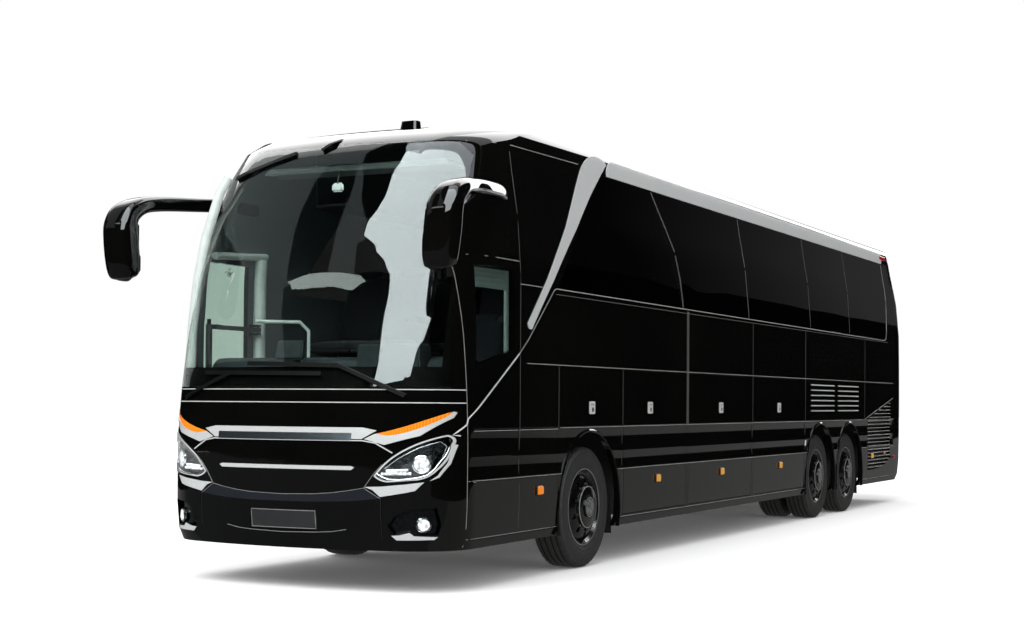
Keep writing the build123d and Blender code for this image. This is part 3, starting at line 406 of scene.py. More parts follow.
def finishMesh(work, name, material, smooth=True, sharpAbove=None, weld=True):
    if weld:
        bmesh.ops.remove_doubles(work, verts=work.verts, dist=1e-5)
    bmesh.ops.recalc_face_normals(work, faces=work.faces)
    for edge in work.edges:
        edge.smooth = sharpAbove is None or edge.calc_face_angle(0) < math.radians(sharpAbove)
    for face in work.faces:
        face.smooth = smooth
    mesh = bpy.data.meshes.new(name)
    work.to_mesh(mesh)
    work.free()
    mesh.materials.append(material)
    return mesh


def bridge(work, rings):  # a closed skin through rings of vertices, with a cap at each end
    for lower, upper in zip(rings, rings[1:]):
        for i in range(len(lower)):
            j = (i + 1) % len(lower)
            work.faces.new((lower[i], lower[j], upper[j], upper[i]))
    work.faces.new(rings[-1])
    work.faces.new(list(reversed(rings[0])))


def spin(work, rays, closed=False):  # a turned skin through rays of vertices
    rows = len(rays[0])
    for here, there in zip(rays, rays[1:] + rays[:1]):
        for row in range(rows if closed else rows - 1):
            after = (row + 1) % rows
            work.faces.new((here[row], there[row], there[after], here[after]))


def roundedOutline(wide, tall, corner, turnStep):
    outline = []
    for cx, cz, start in ((1, 1, 0), (-1, 1, 90), (-1, -1, 180), (1, -1, 270)):
        for turn in range(0, 91, turnStep):
            angle = math.radians(start + turn)
            outline.append((cx * (wide / 2 - corner) + corner * math.cos(angle),
                            cz * (tall / 2 - corner) + corner * math.sin(angle)))
    return outline


def weldedCopy(nodeName, pieceName, materials, smoothBelow=35):
    mesh = frame["nodes"][nodeName].data.copy()
    mesh.name = pieceName
    mesh.materials.clear()
    for material in materials:
        mesh.materials.append(material)
    work = bmesh.new()
    work.from_mesh(mesh)
    bmesh.ops.remove_doubles(work, verts=work.verts, dist=1e-6)
    work.normal_update()
    for edge in work.edges:
        edge.smooth = edge.calc_face_angle(0) < math.radians(smoothBelow)
    for face in work.faces:
        face.smooth = True
        face.material_index = 0
    work.to_mesh(mesh)
    work.free()
    return mesh


# Louvre bars stand proud of the paint as mouldings, grey as a painted highlight on the bars: first and last station,
# lowest and highest z.
louvreZone = (9.15, 11.45, 1.27, 1.66)


# A body panel's copy, shaded by the body's own curves. Its inner faces are lined, its louvre bars are grey, a painted
# highlight.
def skinCopy(nodeName, material, inner):
    pieceName = capped(nodeName) + "Skin"
    mesh = weldedCopy(nodeName, pieceName, [material, inner, paintedHighlightLouvre], 1)
    loops = len(mesh.loops)
    vertexOf = np.empty(loops, np.int32)
    mesh.loops.foreach_get("vertex_index", vertexOf)
    places = np.empty(len(mesh.vertices) * 3)
    mesh.vertices.foreach_get("co", places)
    places = places.reshape(-1, 3)[vertexOf]
    faceNormals, middles = np.empty((loops, 3)), np.empty((loops, 3))
    for polygon in mesh.polygons:
        corner = slice(polygon.loop_start, polygon.loop_start + polygon.loop_total)
        faceNormals[corner] = polygon.normal
        middles[corner] = polygon.center
    curved = skinNormals(places, places + 0.05 * (middles - places))
    facing = np.einsum("ij,ij->i", curved, faceNormals)
    near = np.where(places[:, 2] > 3.40, 0.76, 0.93)  # the shoulder of the roof rolls over more tightly
    normals = np.where((facing > near)[:, None], curved, np.where((facing < -near)[:, None], -curved, faceNormals))
    proud = skinDistance(middles[:, 0], middles[:, 1] - frontY, middles[:, 2])
    start, end, low, high = louvreZone
    for polygon in mesh.polygons:
        first = polygon.loop_start
        centre = polygon.center
        onLouvre = start < centre.y - frontY < end and low < centre.z < high and proud[first] > 0.0008
        lined = centre.y - frontY < 1.4 if nodeName == "side_glass" else facing[first] < -0.8
        polygon.material_index = 2 if onLouvre else 1 if lined else 0
    mesh.normals_split_custom_set([tuple(n) for n in normals])
    return addPiece(pieceName, mesh, bodyOf(nodeName), (nodeName,))


skinPanels = {
    "side_wall_left": (paint, lining), "side_wall_right": (paint, lining), "roof": (paint, lining),
    "rear_wall": (paint, lining), "front_panel": (paint, darkShadedLining), "front_bumper": (paint, blackAbs),
    "windscreen": (screenGlass, screenGlass), "side_glass": (tinted, driverGlass), "rear_window": (tinted, tinted),
    "silver_trim": (silver, silver), "indicators": (amber, amber), "rear_lamps": (red, red),
    "front_lamps": (clear, clear), "flap_left_front": (paint, blackAbs), "flap_left_middle": (paint, blackAbs),
    "flap_left_rear": (paint, blackAbs), "flap_right_front": (paint, blackAbs),
    "flap_right_middle": (paint, blackAbs), "flap_right_rear": (paint, blackAbs), "engine_door": (paint, blackAbs),
    "front_door": (paint, lining), "mid_door": (paint, lining), "front_door_glass": (doorGlass, doorGlass),
    "mid_door_glass": (tinted, tinted),
}
clearPanels = ("windscreen", "front_lamps", "front_door_glass")
for nodeName, (outer, inner) in skinPanels.items():
    skin = skinCopy(nodeName, outer, inner)
    skin.visible_shadow = nodeName not in clearPanels  # clear glazing lets light into the cab
print("stage: body skins")

smoothNodes = {
    "wipers": wiperBlack, "roof_units": glossBlack, "dashboard": blackAbs,
    "steering_wheel": blackAbs, "lamp_housings": lampChrome, "front_axle": chassisCoat, "rear_axles": chassisCoat,
    "knuckle_left": chassisCoat, "knuckle_right": chassisCoat,
}
for axle in ("front", "drive", "tag"):
    for side in ("left", "right"):
        smoothNodes[f"{axle}_wheel_{side}"] = rimCoat
for nodeName, material in smoothNodes.items():
    addPiece(capped(nodeName) + "Smooth", weldedCopy(nodeName, capped(nodeName) + "Smooth", [material]),
             bodyOf(nodeName), (nodeName,))

plainNodes = {
    "underframe": chassisCoat, "cabin_floor": darkShadedLining, "engine_block": chassisCoat, "mudflaps": blackAbs,
    "front_door_arm": chassisCoat, "mid_door_arm": chassisCoat, "luggage_racks": lining,
}
for nodeName, material in plainNodes.items():
    node = frame["nodes"][nodeName]
    for slotIndex in range(len(node.material_slots)):
        node.material_slots[slotIndex].material = material
print("stage: carried-over nodes dressed")
# Thin beads and lines that follow the body: every run is a list of places, joined by straight steps.
def beads(name, runs, radius, material, body="coach", roundness=1):
    data = bpy.data.curves.new(name, "CURVE")
    data.dimensions = "3D"
    data.bevel_depth = radius
    data.bevel_resolution = roundness
    data.use_fill_caps = True
    for run in runs:
        spline = data.splines.new("POLY")
        spline.points.add(len(run) - 1)
        for point, place in zip(spline.points, run):
            point.co = (*place, 1.0)
    data.materials.append(material)
    return addPiece(name, data, body)


def steps(start, end, pitch=0.12):
    count = max(2, int(abs(end - start) / pitch) + 1)
    return [start + (end - start) * i / (count - 1) for i in range(count)]


def runAlong(corners, pitch, place):
    run = []
    for (a0, b0), (a1, b1) in zip(corners, corners[1:]):
        count = max(2, int(math.hypot(a1 - a0, b1 - b0) / pitch) + 1)
        for i in range(count if (a1, b1) == corners[-1] else count - 1):
            share = i / (count - 1)
            run.append(place(a0 + (a1 - a0) * share, b0 + (b1 - b0) * share))
    return run


def sideRun(side, corners, lift=0.0, pitch=0.15):
    return runAlong(corners, pitch, lambda station, z: onSide(side, station, z, lift))


def frontRun(corners, lift=0.0, pitch=0.06):
    return runAlong(corners, pitch, lambda x, z: onFront(x, z, lift))


def aroundFront(z, cornerX=1.16, lastStation=0.485, lift=0.0):
    bow = [onFront(x, z, lift) for x in steps(0, cornerX, 0.08)]
    ends = [onSide(1, s, z, lift) for s in steps(frontStation(cornerX, z) + 0.03, lastStation, 0.04)]
    half = bow + ends
    return [Vector((-p.x, p.y, p.z)) for p in reversed(half)] + half[1:]


# Shut lines and joints of the sides. Heights and stations in metres.
sideLines = {
    "belt": 1.676,
    "waist": 1.173,
    "crease": 0.8045,
    "sill": 0.385,
    "paneFoot": 2.262,
    "cornerStation": 0.493,
    "archHalf": 0.652,
    "rearRise": ((11.754, 1.184), (13.300, 1.468)),
    "paneEnd": ((12.800, 2.262), (12.880, 2.290), (12.925, 2.400), (12.985, 2.700), (13.020, 3.000), (12.985, 3.330)),
}


def clearOfArches(height, first, last):
    spans, start = [], first
    for axle in ("frontAxle", "driveAxle", "tagAxle"):
        rise = height - coachSize["hubHeight"]
        if abs(rise) >= sideLines["archHalf"]:
            continue
        half = math.sqrt(sideLines["archHalf"] ** 2 - rise**2)
        middle = coachSize[axle]
        if middle - half > start:
            spans.append((start, middle - half))
        start = middle + half
    spans.append((start, last))
    return spans


# The shut lines, creases, the swoosh and the cowl lines are drawn as pale beads, painted highlights; the uprights and
# the line under the panes as dim beads, a painted highlight and a painted shadow.
for side, word in ((1, "Left"), (-1, "Right")):
    upperSwoosh = [(1.296, 1.745), (1.452, 1.857), (1.919, 2.264), (1.955, 2.281), (1.991, 2.283)]
    doorEnd = 1.41 if side < 0 else 0.505
    grey = []
    for height in (sideLines["waist"], sideLines["crease"], sideLines["sill"]):
        first = 2.05 if height == sideLines["waist"] else doorEnd
        grey += [sideRun(side, [(s, height), (e, height)], 0.0005) for s, e in clearOfArches(height, first, 13.32)
                 if e - s > 0.02]
    grey.append(sideRun(side, [(1.44, sideLines["belt"]), (13.3, sideLines["belt"])], 0.0005))
    grey.append(sideRun(side, list(sideLines["rearRise"]), 0.0005))
    if side > 0:
        grey.append(sideRun(side, [(1.312, 2.28), (1.70, 2.28)], 0.0005))
        grey.append(sideRun(side, [(0.60, 2.452), (1.300, 2.452)], 0.0005))
    beads("waistBeads" + word, grey, 0.0028, paintedHighlightBead)
    foot = upperSwoosh + [(12.80, sideLines["paneFoot"])]
    beads("paneFootBead" + word, [sideRun(side, foot, 0.0015), sideRun(side, list(sideLines["paneEnd"]), 0.0015)],
          0.0038, paintedHighlightBead)
    beads("paneShadowBead" + word, [sideRun(side, [(1.96, 2.240), (12.98, 2.240)], 0.0)], 0.0022, paintedDimHighlightAndShadowBead)
    if side > 0:
        beads("swooshBead", [[onFront(1.240, 1.134, 0.001)] + sideRun(side, [(0.36, 1.14), (0.487, 1.214)], 0.001, 0.04)
                             + sideRun(side, [(0.498, 1.254), (1.296, 1.745)], 0.001)], 0.0060, paintedBrightHighlightBead)
    upright = []
    for station, low, high in ((1.312, 0.42, 3.30), (2.02, 1.178, 1.672), (3.358, 0.42, 1.672), (6.983, 0.42, 2.24),
                               (8.962, 0.42, 2.24), (11.723, 1.178, 2.24)):
        if side < 0 and station < 1.5:
            continue
        upright.append(sideRun(side, [(station + 0.006, low), (station + 0.006, high)], 0.0))
    beads("uprightBeads" + word, upright, 0.0022, paintedDimHighlightAndShadowBead)
    cornerStation, cornerTop = sideLines["cornerStation"], 2.60 if side > 0 else 2.30
    beads("cornerBead" + word, [sideRun(side, [(cornerStation, 0.33), (cornerStation, cornerTop)])], 0.0030, paintedHighlightBead)
beads("cowlBeads", [aroundFront(1.462, lift=0.0005), aroundFront(1.368, lift=0.0005)], 0.0042, paintedBrightHighlightBead)
print("stage: beads laid")


# A plate on the body's side: a bevelled block, bent to the surface, its outline rounded.
def sidePlate(name, side, station, z, wide, tall, proud, corner, material, body):
    work = bmesh.new()
    outline = roundedOutline(wide, tall, corner, 30)
    layers = []
    for inset, lift in ((0.0, -0.004), (0.0, proud * 0.7), (min(0.25 * corner + 0.002, 0.3 * min(wide, tall)), proud)):
        layer = []
        for u, v in outline:
            shrinkU, shrinkV = 1 - 2 * inset / wide, 1 - 2 * inset / tall
            place = onSide(side, station + u * shrinkU, z + v * shrinkV)
            layer.append(work.verts.new((place.x + side * lift, place.y, place.z)))
        layers.append(layer)
    bridge(work, layers)
    return addPiece(name, finishMesh(work, name, material, False, weld=False), body)


# Locks of the luggage flaps, and side marker lamps: station, body they ride on.
lockSize = {"height": 1.335, "wide": 0.115, "tall": 0.105, "proud": 0.006}
markerSize = {"height": 0.690, "wide": 0.088, "tall": 0.066, "proud": 0.024}
sideFittings = {
    "Left": {"locks": ((2.69, "coach"), (4.01, "flap_left_front"), (5.96, "flap_left_middle"),
                       (7.93, "flap_left_rear")),
             "markers": ((1.67, "coach"), (4.20, "flap_left_front"), (5.98, "flap_left_middle"),
                         (7.97, "flap_left_rear"), (12.10, "coach"))},
    "Right": {"locks": ((2.69, "coach"), (4.01, "flap_right_front"), (5.48, "flap_right_middle"),
                        (8.35, "flap_right_rear")),
              "markers": ((1.78, "coach"), (4.20, "flap_right_front"), (5.60, "flap_right_middle"),
                          (8.30, "flap_right_rear"), (12.10, "coach"))},
}
# Each part of a lock or lamp: name, step rearwards, step up, width, height, how proud, corner, material.
lockParts = (
    ("flapLock", 0.0, 0.0, lockSize["wide"], lockSize["tall"], lockSize["proud"], 0.012, lockPlate),
    ("flapKeyway", 0.008, -0.016, 0.042, 0.040, lockSize["proud"] + 0.002, 0.014, blackAbs),
    # the pull is a pale grey bead: a painted highlight on it
    ("flapPull", 0.0, 0.028, 0.070, 0.016, lockSize["proud"] + 0.003, 0.006, paintedHighlightBead),
)
markerParts = (
    ("markerBase", 0.0, 0.0, markerSize["wide"] + 0.014, markerSize["tall"] + 0.014, 0.010, 0.010, blackAbs),
    ("markerLamp", 0.0, 0.0, markerSize["wide"], markerSize["tall"], markerSize["proud"], 0.010, markerAmber),
)
for word, side in (("Left", 1), ("Right", -1)):
    for kind, parts, height in (("locks", lockParts, lockSize["height"]),
                                ("markers", markerParts, markerSize["height"])):
        for index, (station, rides) in enumerate(sideFittings[word][kind]):
            body = rides if rides == "coach" else bodyOf(rides)
            for name, along, up, wide, tall, proud, corner, material in parts:
                lamp = amber if name == "markerLamp" and index == 0 else material
                sidePlate(f"{name}{word}{index + 1}", side, station + along, height + up, wide, tall, proud, corner,
                          lamp, body)
print("stage: locks and side lamps")
# The air intakes' slats: a pale rounded nose along each bar between two slots, a painted highlight on the bars.
intakeShape = {
    "outline": ((11.90, 1.190), (13.15, 1.425), (13.15, 0.640), (13.04, 0.595), (12.90, 0.560), (12.60, 0.515),
                (11.90, 0.489)),
    "low": 0.500, "pitch": 0.048, "slot": 0.026, "noseRadius": 0.0045,
}


def spanAt(outline, z):
    crossings = []
    for (s0, z0), (s1, z1) in zip(outline, outline[1:] + outline[:1]):
        if (z0 - z) * (z1 - z) < 0:
            crossings.append(s0 + (s1 - s0) * (z - z0) / (z1 - z0))
    return (min(crossings), max(crossings)) if len(crossings) > 1 else None


for side, word in ((1, "Left"), (-1, "Right")):
    runs = []
    height = intakeShape["low"] + intakeShape["slot"] + 0.006
    while height < 1.42:
        span = spanAt(intakeShape["outline"], height)
        if span and span[1] - span[0] > 0.08:
            runs.append(sideRun(side, [(span[0] + 0.012, height), (span[1] - 0.012, height)], 0.001))
        height += intakeShape["pitch"]
    beads("intakeSlats" + word, runs, intakeShape["noseRadius"], paintedHighlightBead)
    back = [onSide(side, s, z, -0.050) for s, z in intakeShape["outline"]]
    addSheet("intakeBack" + word, back, [tuple(range(len(back)))], blackAbs)
    sidePlate("intakeMarker" + word, side, 12.82, 0.706, 0.040, 0.022, 0.012, 0.006, markerAmber, "coach")


# A disc on the nose, square to the front's curve: layers of (radius, depth under the surface).
def noseDisc(name, x, z, layers, material, around=48):
    centre = onFront(x, z)
    normal = Vector(tuple(skinNormals(np.array([tuple(centre)]), np.array([tuple(centre)]))[0]))
    normal.z = 0
    normal.normalize()
    across = Vector((0, 0, 1)).cross(normal)
    work = bmesh.new()
    rings = []
    for radius, depth in layers:
        base = centre - normal * depth
        if radius == 0:
            rings.append([work.verts.new(base)])
            continue
        rings.append([work.verts.new(base + across * radius * math.cos(2 * math.pi * i / around)
                                     + Vector((0, 0, 1)) * radius * math.sin(2 * math.pi * i / around))
                      for i in range(around)])
    for inner, outer in zip(rings, rings[1:]):
        for i in range(around):
            j = (i + 1) % around
            corners = [inner[i % len(inner)], inner[j % len(inner)], outer[j], outer[i]]
            work.faces.new(list(dict.fromkeys(corners)))
    return addPiece(name, finishMesh(work, name, material, True, 35, False), "coach")


# Front lamps: places across the nose and heights. Depths are metres under the paint.
noseLamps = {
    "projector": (1.055, 0.931),
    "fog": (1.066, 0.500),
    "dayLights": (((0.776, 0.862), (0.985, 0.866)), ((0.812, 0.884), (0.965, 0.890))),
    "rim": ((0.752, 0.862), (0.790, 0.838), (0.836, 0.822), (0.905, 0.820), (0.975, 0.826), (1.040, 0.838),
            (1.089, 0.855), (1.128, 0.898), (1.156, 0.950), (1.180, 0.990), (1.193, 1.027), (1.204, 1.075),
            (1.200, 1.118)),
}
for side, word in ((1, "Left"), (-1, "Right")):
    x, z = noseLamps["projector"]
    noseDisc("projectorLens" + word, side * x, z, [(0, 0.006), (0.020, 0.0065), (0.038, 0.009), (0.050, 0.0135),
                                                   (0.052, 0.016), (0.052, 0.019)], lensGlow)
    noseDisc("projectorBezel" + word, side * x, z, [(0.052, 0.019), (0.053, 0.009), (0.058, 0.007), (0.066, 0.012),
                                                    (0.068, 0.022)], chrome)
    x, z = noseLamps["fog"]
    noseDisc("fogLens" + word, side * x, z, [(0, 0.010), (0.018, 0.0105), (0.034, 0.013), (0.042, 0.0175)], lensGlow)
    noseDisc("fogBezel" + word, side * x, z, [(0.042, 0.0185), (0.043, 0.011), (0.048, 0.010), (0.055, 0.016),
                                              (0.057, 0.030)], chrome)
    for index, row in enumerate(noseLamps["dayLights"]):
        beads(f"dayLight{word}{index + 1}", [frontRun([(side * px, pz) for px, pz in row], -0.013)], 0.0105, lensGlow,
              roundness=3)
    beads("headlampRim" + word, [frontRun([(side * px, pz) for px, pz in noseLamps["rim"]], 0.001, 0.03)], 0.0062,
          chrome, roundness=3)
    beads("headlampGuide" + word, [frontRun([(side * px, pz) for px, pz in (
        (0.800, 0.900), (0.900, 0.975), (1.030, 1.048), (1.150, 1.095), (1.180, 1.060), (1.160, 0.985))], -0.012)],
          0.0035, chrome)
print("stage: front lamps")


# Blank number plates in their holders, front and rear: half width, lowest and highest point.
def blankPlate(name, halfWide, low, high, place, sink):
    columns, pressed, margin = steps(-halfWide, halfWide, 0.04), 0.004, 0.008
    rows = ((low, sink), (low + 0.003, sink - pressed), (high - 0.003, sink - pressed), (high, sink))
    addSheet(name, [place(x, z, -depth) for z, depth in rows for x in columns], gridFaces(len(columns), len(rows)),
             plateFace)
    inner, foot, head = halfWide - margin, low + margin, high - margin
    edge = [(-inner, foot), (inner, foot), (inner, head), (-inner, head), (-inner, foot)]
    run = []
    for (x0, z0), (x1, z1) in zip(edge, edge[1:]):
        count = max(2, int(math.hypot(x1 - x0, z1 - z0) / 0.05) + 1)
        run += [place(x0 + (x1 - x0) * i / (count - 1), z0 + (z1 - z0) * i / (count - 1), -sink + 0.005)
                for i in range(count)]
    # The rim is a pale bead: a painted highlight on the holder's edge.
    beads(name + "Rim", [run], 0.0028, paintedHighlightBead)


blankPlate("frontNumberPlate", 0.284, 0.450, 0.594, onFront, 0.0065)
blankPlate("rearNumberPlate", 0.262, 0.560, 0.674, onRear, -0.004)
print("stage: plates")


# The bumper: a chamfered shelf under the grille, slate grey as a painted reflection of the sky; its light joint and the
# crease under the plate, pale beads as painted highlights; and two shut lines.
bumperShape = {
    "shelfTop": ((0.0, 0.703), (0.275, 0.710), (0.420, 0.722), (0.540, 0.739), (0.655, 0.760)),
    "shelfFoot": ((0.0, 0.652), (0.275, 0.654), (0.494, 0.661), (0.640, 0.672), (0.772, 0.688)),
    "joint": ((0.790, 0.930), (0.728, 0.862), (0.655, 0.760), (0.540, 0.739), (0.420, 0.722), (0.275, 0.710),
              (0.0, 0.703)),
    "shutLine": 0.780,
    "crease": ((0.515, 0.460), (0.400, 0.441), (0.275, 0.434), (0.0, 0.427)),
}


def frontPatch(name, rows, lift, material):
    addSheet(name, [onFront(x, z, lift) for row in rows for x, z in row], gridFaces(len(rows[0]), len(rows)), material,
             smooth=True)


def mirrored(points):  # the same outline carried over the middle of the coach
    return [(-x, z) for x, z in reversed(points)] + [p for p in points if p[0] != 0]


def finer(points, parts=4):
    out = [points[0]]
    for (x0, z0), (x1, z1) in zip(points, points[1:]):
        out += [(x0 + (x1 - x0) * k / parts, z0 + (z1 - z0) * k / parts) for k in range(1, parts + 1)]
    return out


top, foot = finer(mirrored(bumperShape["shelfTop"])), finer(mirrored(bumperShape["shelfFoot"]))
middleRow = [((x0 + x1) / 2, (z0 + z1) / 2) for (x0, z0), (x1, z1) in zip(top, foot)]
frontPatch("bumperShelf", [foot, middleRow, top], 0.0012, paintedReflectionSlate)
beads("grilleJoint", [frontRun(mirrored(list(reversed(bumperShape["joint"]))), 0.0012)], 0.0022, paintedHighlightBead)
beads("bumperCrease", [frontRun(mirrored(list(reversed(bumperShape["crease"]))), 0.0005)], 0.0024, paintedHighlightBead)
beads("shelfEnds", [frontRun([(side * 0.655, 0.760), (side * 0.772, 0.688)], 0.0012) for side in (1, -1)], 0.0018,
      paintedHighlightBead)
beads("bumperShutLines", [frontRun([(side * bumperShape["shutLine"], 0.688), (side * bumperShape["shutLine"], 0.385)],
                                   0.0008) for side in (1, -1)], 0.0026, blackAbs)
insetRows = [[(x, z) for x in steps(-0.600, 0.560, 0.05)] for z in (1.098, 1.125, 1.150)]
frontPatch("gripInset", insetRows, 0.0072, gripInset)
print("stage: bumper")


# Ceramic band printed on the foot and the left edge of the windscreen, behind the glass.
screenBand = {"low": 1.480, "high": 1.625, "halfWide": 1.215, "top": 2.80, "behind": -0.0095}
rows = []
for k in range(5):
    z = screenBand["low"] + (screenBand["high"] - screenBand["low"]) * k / 4
    rows.append([(x, z) for x in steps(-screenBand["halfWide"], screenBand["halfWide"], 0.05)])
frontPatch("screenFootBand", rows, screenBand["behind"], ceramicBand)
rows = [[(x, z) for x in (1.130, 1.165, 1.195, 1.212)] for z in steps(screenBand["high"], screenBand["top"], 0.08)]
frontPatch("screenEdgeBandLeft", rows, screenBand["behind"], ceramicBand)


# Panes are parted by sealant; a broad cover carries the first joint down to the waist.
def sideStrip(name, side, path, wide, lift, material):
    vertices = []
    for (s0, z0), (s1, z1) in zip(path, path[1:]):
        count = max(2, int(abs(z1 - z0) / 0.06))
        for k in range(count + (1 if (s1, z1) == path[-1] else 0)):
            s, z = s0 + (s1 - s0) * k / count, z0 + (z1 - z0) * k / count
            vertices += [onSide(side, s - wide / 2, z, lift), onSide(side, s + wide / 2, z, lift)]
    addSheet(name, vertices, gridFaces(2, len(vertices) // 2), material)


paneJoints = {
    1: {"wide": 0.034, "path": ((4.850, 2.290), (4.800, 2.560), (4.690, 2.820), (4.520, 3.040), (4.268, 3.330))},
    2: {"wide": 0.024, "path": ((6.840, 2.290), (6.760, 3.330))},
    3: {"wide": 0.020, "path": ((9.165, 2.290), (9.125, 3.330))},
    4: {"wide": 0.018, "path": ((10.950, 2.290), (10.950, 3.330))},
}
for side, word in ((1, "Left"), (-1, "Right")):
    for index, joint in paneJoints.items():
        sideStrip(f"paneJoint{word}{index}", side, joint["path"], joint["wide"], 0.0006, paneSeal)
    # The joint at the panes' head is a pale bead: a painted highlight.
    beads("paneHeadJoint" + word, [sideRun(side, [(0.93, 3.338), (1.36, 3.354), (2.62, 3.374)], 0.0012)], 0.0024,
          paintedHighlightBead)
sideStrip("joinCoverLeft", 1, ((4.987, 1.178), (4.987, 1.671)), 0.062, 0.0012, paneSeal)
sideStrip("joinCoverUpperLeft", 1, ((4.987, 1.682), (4.987, 2.258)), 0.062, 0.0012, paneSeal)
sidePlate("blankLabel", 1, 9.001, 0.918, 0.045, 0.062, 0.002, 0.004, paleTrim, "coach")
print("stage: side joints")
# Tyres: a revolved section with ribs, grooves and a rim protector; sipes are cut across the shoulders.
tyreShape = {
    "radius": 0.505, "halfWidth": 0.1425, "beadRadius": 0.3005, "beadHalf": 0.1115,
    "grooves": (-0.078, -0.027, 0.027, 0.078), "grooveHalf": 0.0055, "grooveDeep": 0.013, "around": 132,
    "sipeDeep": 0.008,
}


def tyreSection():
    radius, half = tyreShape["radius"], tyreShape["halfWidth"]
    tread, edge = [], 0.106
    crown = lambda a: radius - 0.0035 * (a / edge) ** 2
    cuts = tyreShape["grooves"]
    for cut in cuts:
        w, deep = tyreShape["grooveHalf"], tyreShape["grooveDeep"]
        tread += [(cut - w - 0.001, crown(cut)), (cut - w * 0.7, crown(cut) - deep), (cut + w * 0.7, crown(cut) - deep),
                  (cut + w + 0.001, crown(cut))]
    tread = [(-edge, crown(edge))] + tread + [(edge, crown(edge))]
    wall = [(0.116, 0.4985), (0.1235, 0.4890), (0.1300, 0.4760), (0.1352, 0.4740), (0.1392, 0.4500), (0.1418, 0.4200),
            (half, 0.3950), (0.1405, 0.3780), (0.1360, 0.3640), (0.1372, 0.3600), (0.1335, 0.3520), (0.1290, 0.3420),
            (0.1270, 0.3300), (0.1235, 0.3235)]
    bead = [(tyreShape["beadHalf"], 0.3170), (tyreShape["beadHalf"], tyreShape["beadRadius"])]
    right = wall + bead
    left = [(-a, r) for a, r in reversed(right)]
    return left + tread + right


def tyreMesh(name, placements):
    section = tyreSection()
    around = tyreShape["around"]
    work = bmesh.new()
    for place in placements:
        grid = []
        for step in range(around):
            angle = 2 * math.pi * (step + 0.5) / around
            ring = []
            for a, r in section:
                onShoulder = 0.106 <= abs(a) < 0.125
                drop = tyreShape["sipeDeep"] if onShoulder and step % 3 == 0 else 0.0
                ring.append(work.verts.new((place.x + a, place.y + (r - drop) * math.cos(angle),
                                            place.z + (r - drop) * math.sin(angle))))
            grid.append(ring)
        spin(work, grid, True)
    for face in work.faces:
        distance = [math.hypot(v.co.y - placements[0].y, v.co.z - placements[0].z) for v in face.verts]
        face.material_index = 1 if 0.470 < sum(distance) / len(distance) < 0.477 else 0
    mesh = finishMesh(work, name, rubber, True, 38, False)
    mesh.materials.append(wornRubber)
    return mesh


def lathe(work, place, outward, section, around=64):
    grid = []
    for step in range(around):
        angle = 2 * math.pi * step / around
        grid.append([work.verts.new((place.x + outward * a, place.y + r * math.cos(angle),
                                     place.z + r * math.sin(angle))) for a, r in section])
    spin(work, grid)


# Wheel trim: nuts with washers, bright rings round the hub cap, the hub plate and the rim's edge, painted highlights in
# pale grey, and the plain hub cap.
wheelTrim = {
    "track": 1.090, "nuts": 10, "nutAt": 0.1900, "nutRadius": 0.0145, "nutFace": 0.152,
    "ringOut": 0.163, "ringRadius": 0.1715, "capOut": 0.178, "capRadius": 0.074,
}


def trimWheel(word, side, station, body):
    middle = Vector((side * wheelTrim["track"], stationY(station), coachSize["hubHeight"]))
    work = bmesh.new()
    out = wheelTrim["capOut"]
    lathe(work, middle, side, [(out - 0.004, 0.084), (out + 0.0005, 0.081), (out + 0.0005, 0.076),
                               (out - 0.001, 0.074)])
    ringOut, ringRadius = wheelTrim["ringOut"], wheelTrim["ringRadius"]
    lathe(work, middle, side, [(ringOut - 0.006, ringRadius + 0.0045), (ringOut, ringRadius + 0.002),
                               (ringOut + 0.0005, ringRadius - 0.002), (ringOut - 0.001, ringRadius - 0.004)])
    lathe(work, middle, side, [(0.1245, 0.3215), (0.1265, 0.3190), (0.1245, 0.3150)], 96)
    addPiece("hubRings" + word, finishMesh(work, "hubRings" + word, paintedHighlightBead, weld=False), body)

    work = bmesh.new()
    lathe(work, middle, side, [(out + 0.0005, 0.0), (out + 0.0015, 0.030), (out + 0.0008, 0.060),
                               (out - 0.0008, 0.0745)])
    addPiece("hubCap" + word, finishMesh(work, "hubCap" + word, capAlloy, weld=False), body)

    work = bmesh.new()
    for index in range(wheelTrim["nuts"]):
        angle = 2 * math.pi * (index + 0.5) / wheelTrim["nuts"]
        base = middle + Vector((0, wheelTrim["nutAt"] * math.cos(angle), wheelTrim["nutAt"] * math.sin(angle)))
        radius, face = wheelTrim["nutRadius"], wheelTrim["nutFace"]
        lathe(work, base, side, [(face - 0.022, radius * 1.35), (face - 0.014, radius * 1.35), (face - 0.013, radius),
                                 (face, radius * 0.92), (face + 0.003, radius * 0.5), (face + 0.003, 0.0)], 6)
    addPiece("wheelNuts" + word, finishMesh(work, "wheelNuts" + word, nutSteel, False, weld=False), body)


for axle, stationName in (("front", "frontAxle"), ("drive", "driveAxle"), ("tag", "tagAxle")):
    for side, word in ((1, "left"), (-1, "right")):
        station = coachSize[stationName]
        body = bodyOf(f"{axle}_wheel_{word}")
        tracks = (1.090, 0.740) if axle == "drive" else (1.090,)
        places = [Vector((side * t, stationY(station), coachSize["hubHeight"])) for t in tracks]
        label = axle.capitalize() + word.capitalize()
        addPiece("tyre" + label, tyreMesh("tyre" + label, places), body, (f"{axle}_tyre_{word}",))
        trimWheel(label, side, station, body)
print("stage: wheels and tyres")

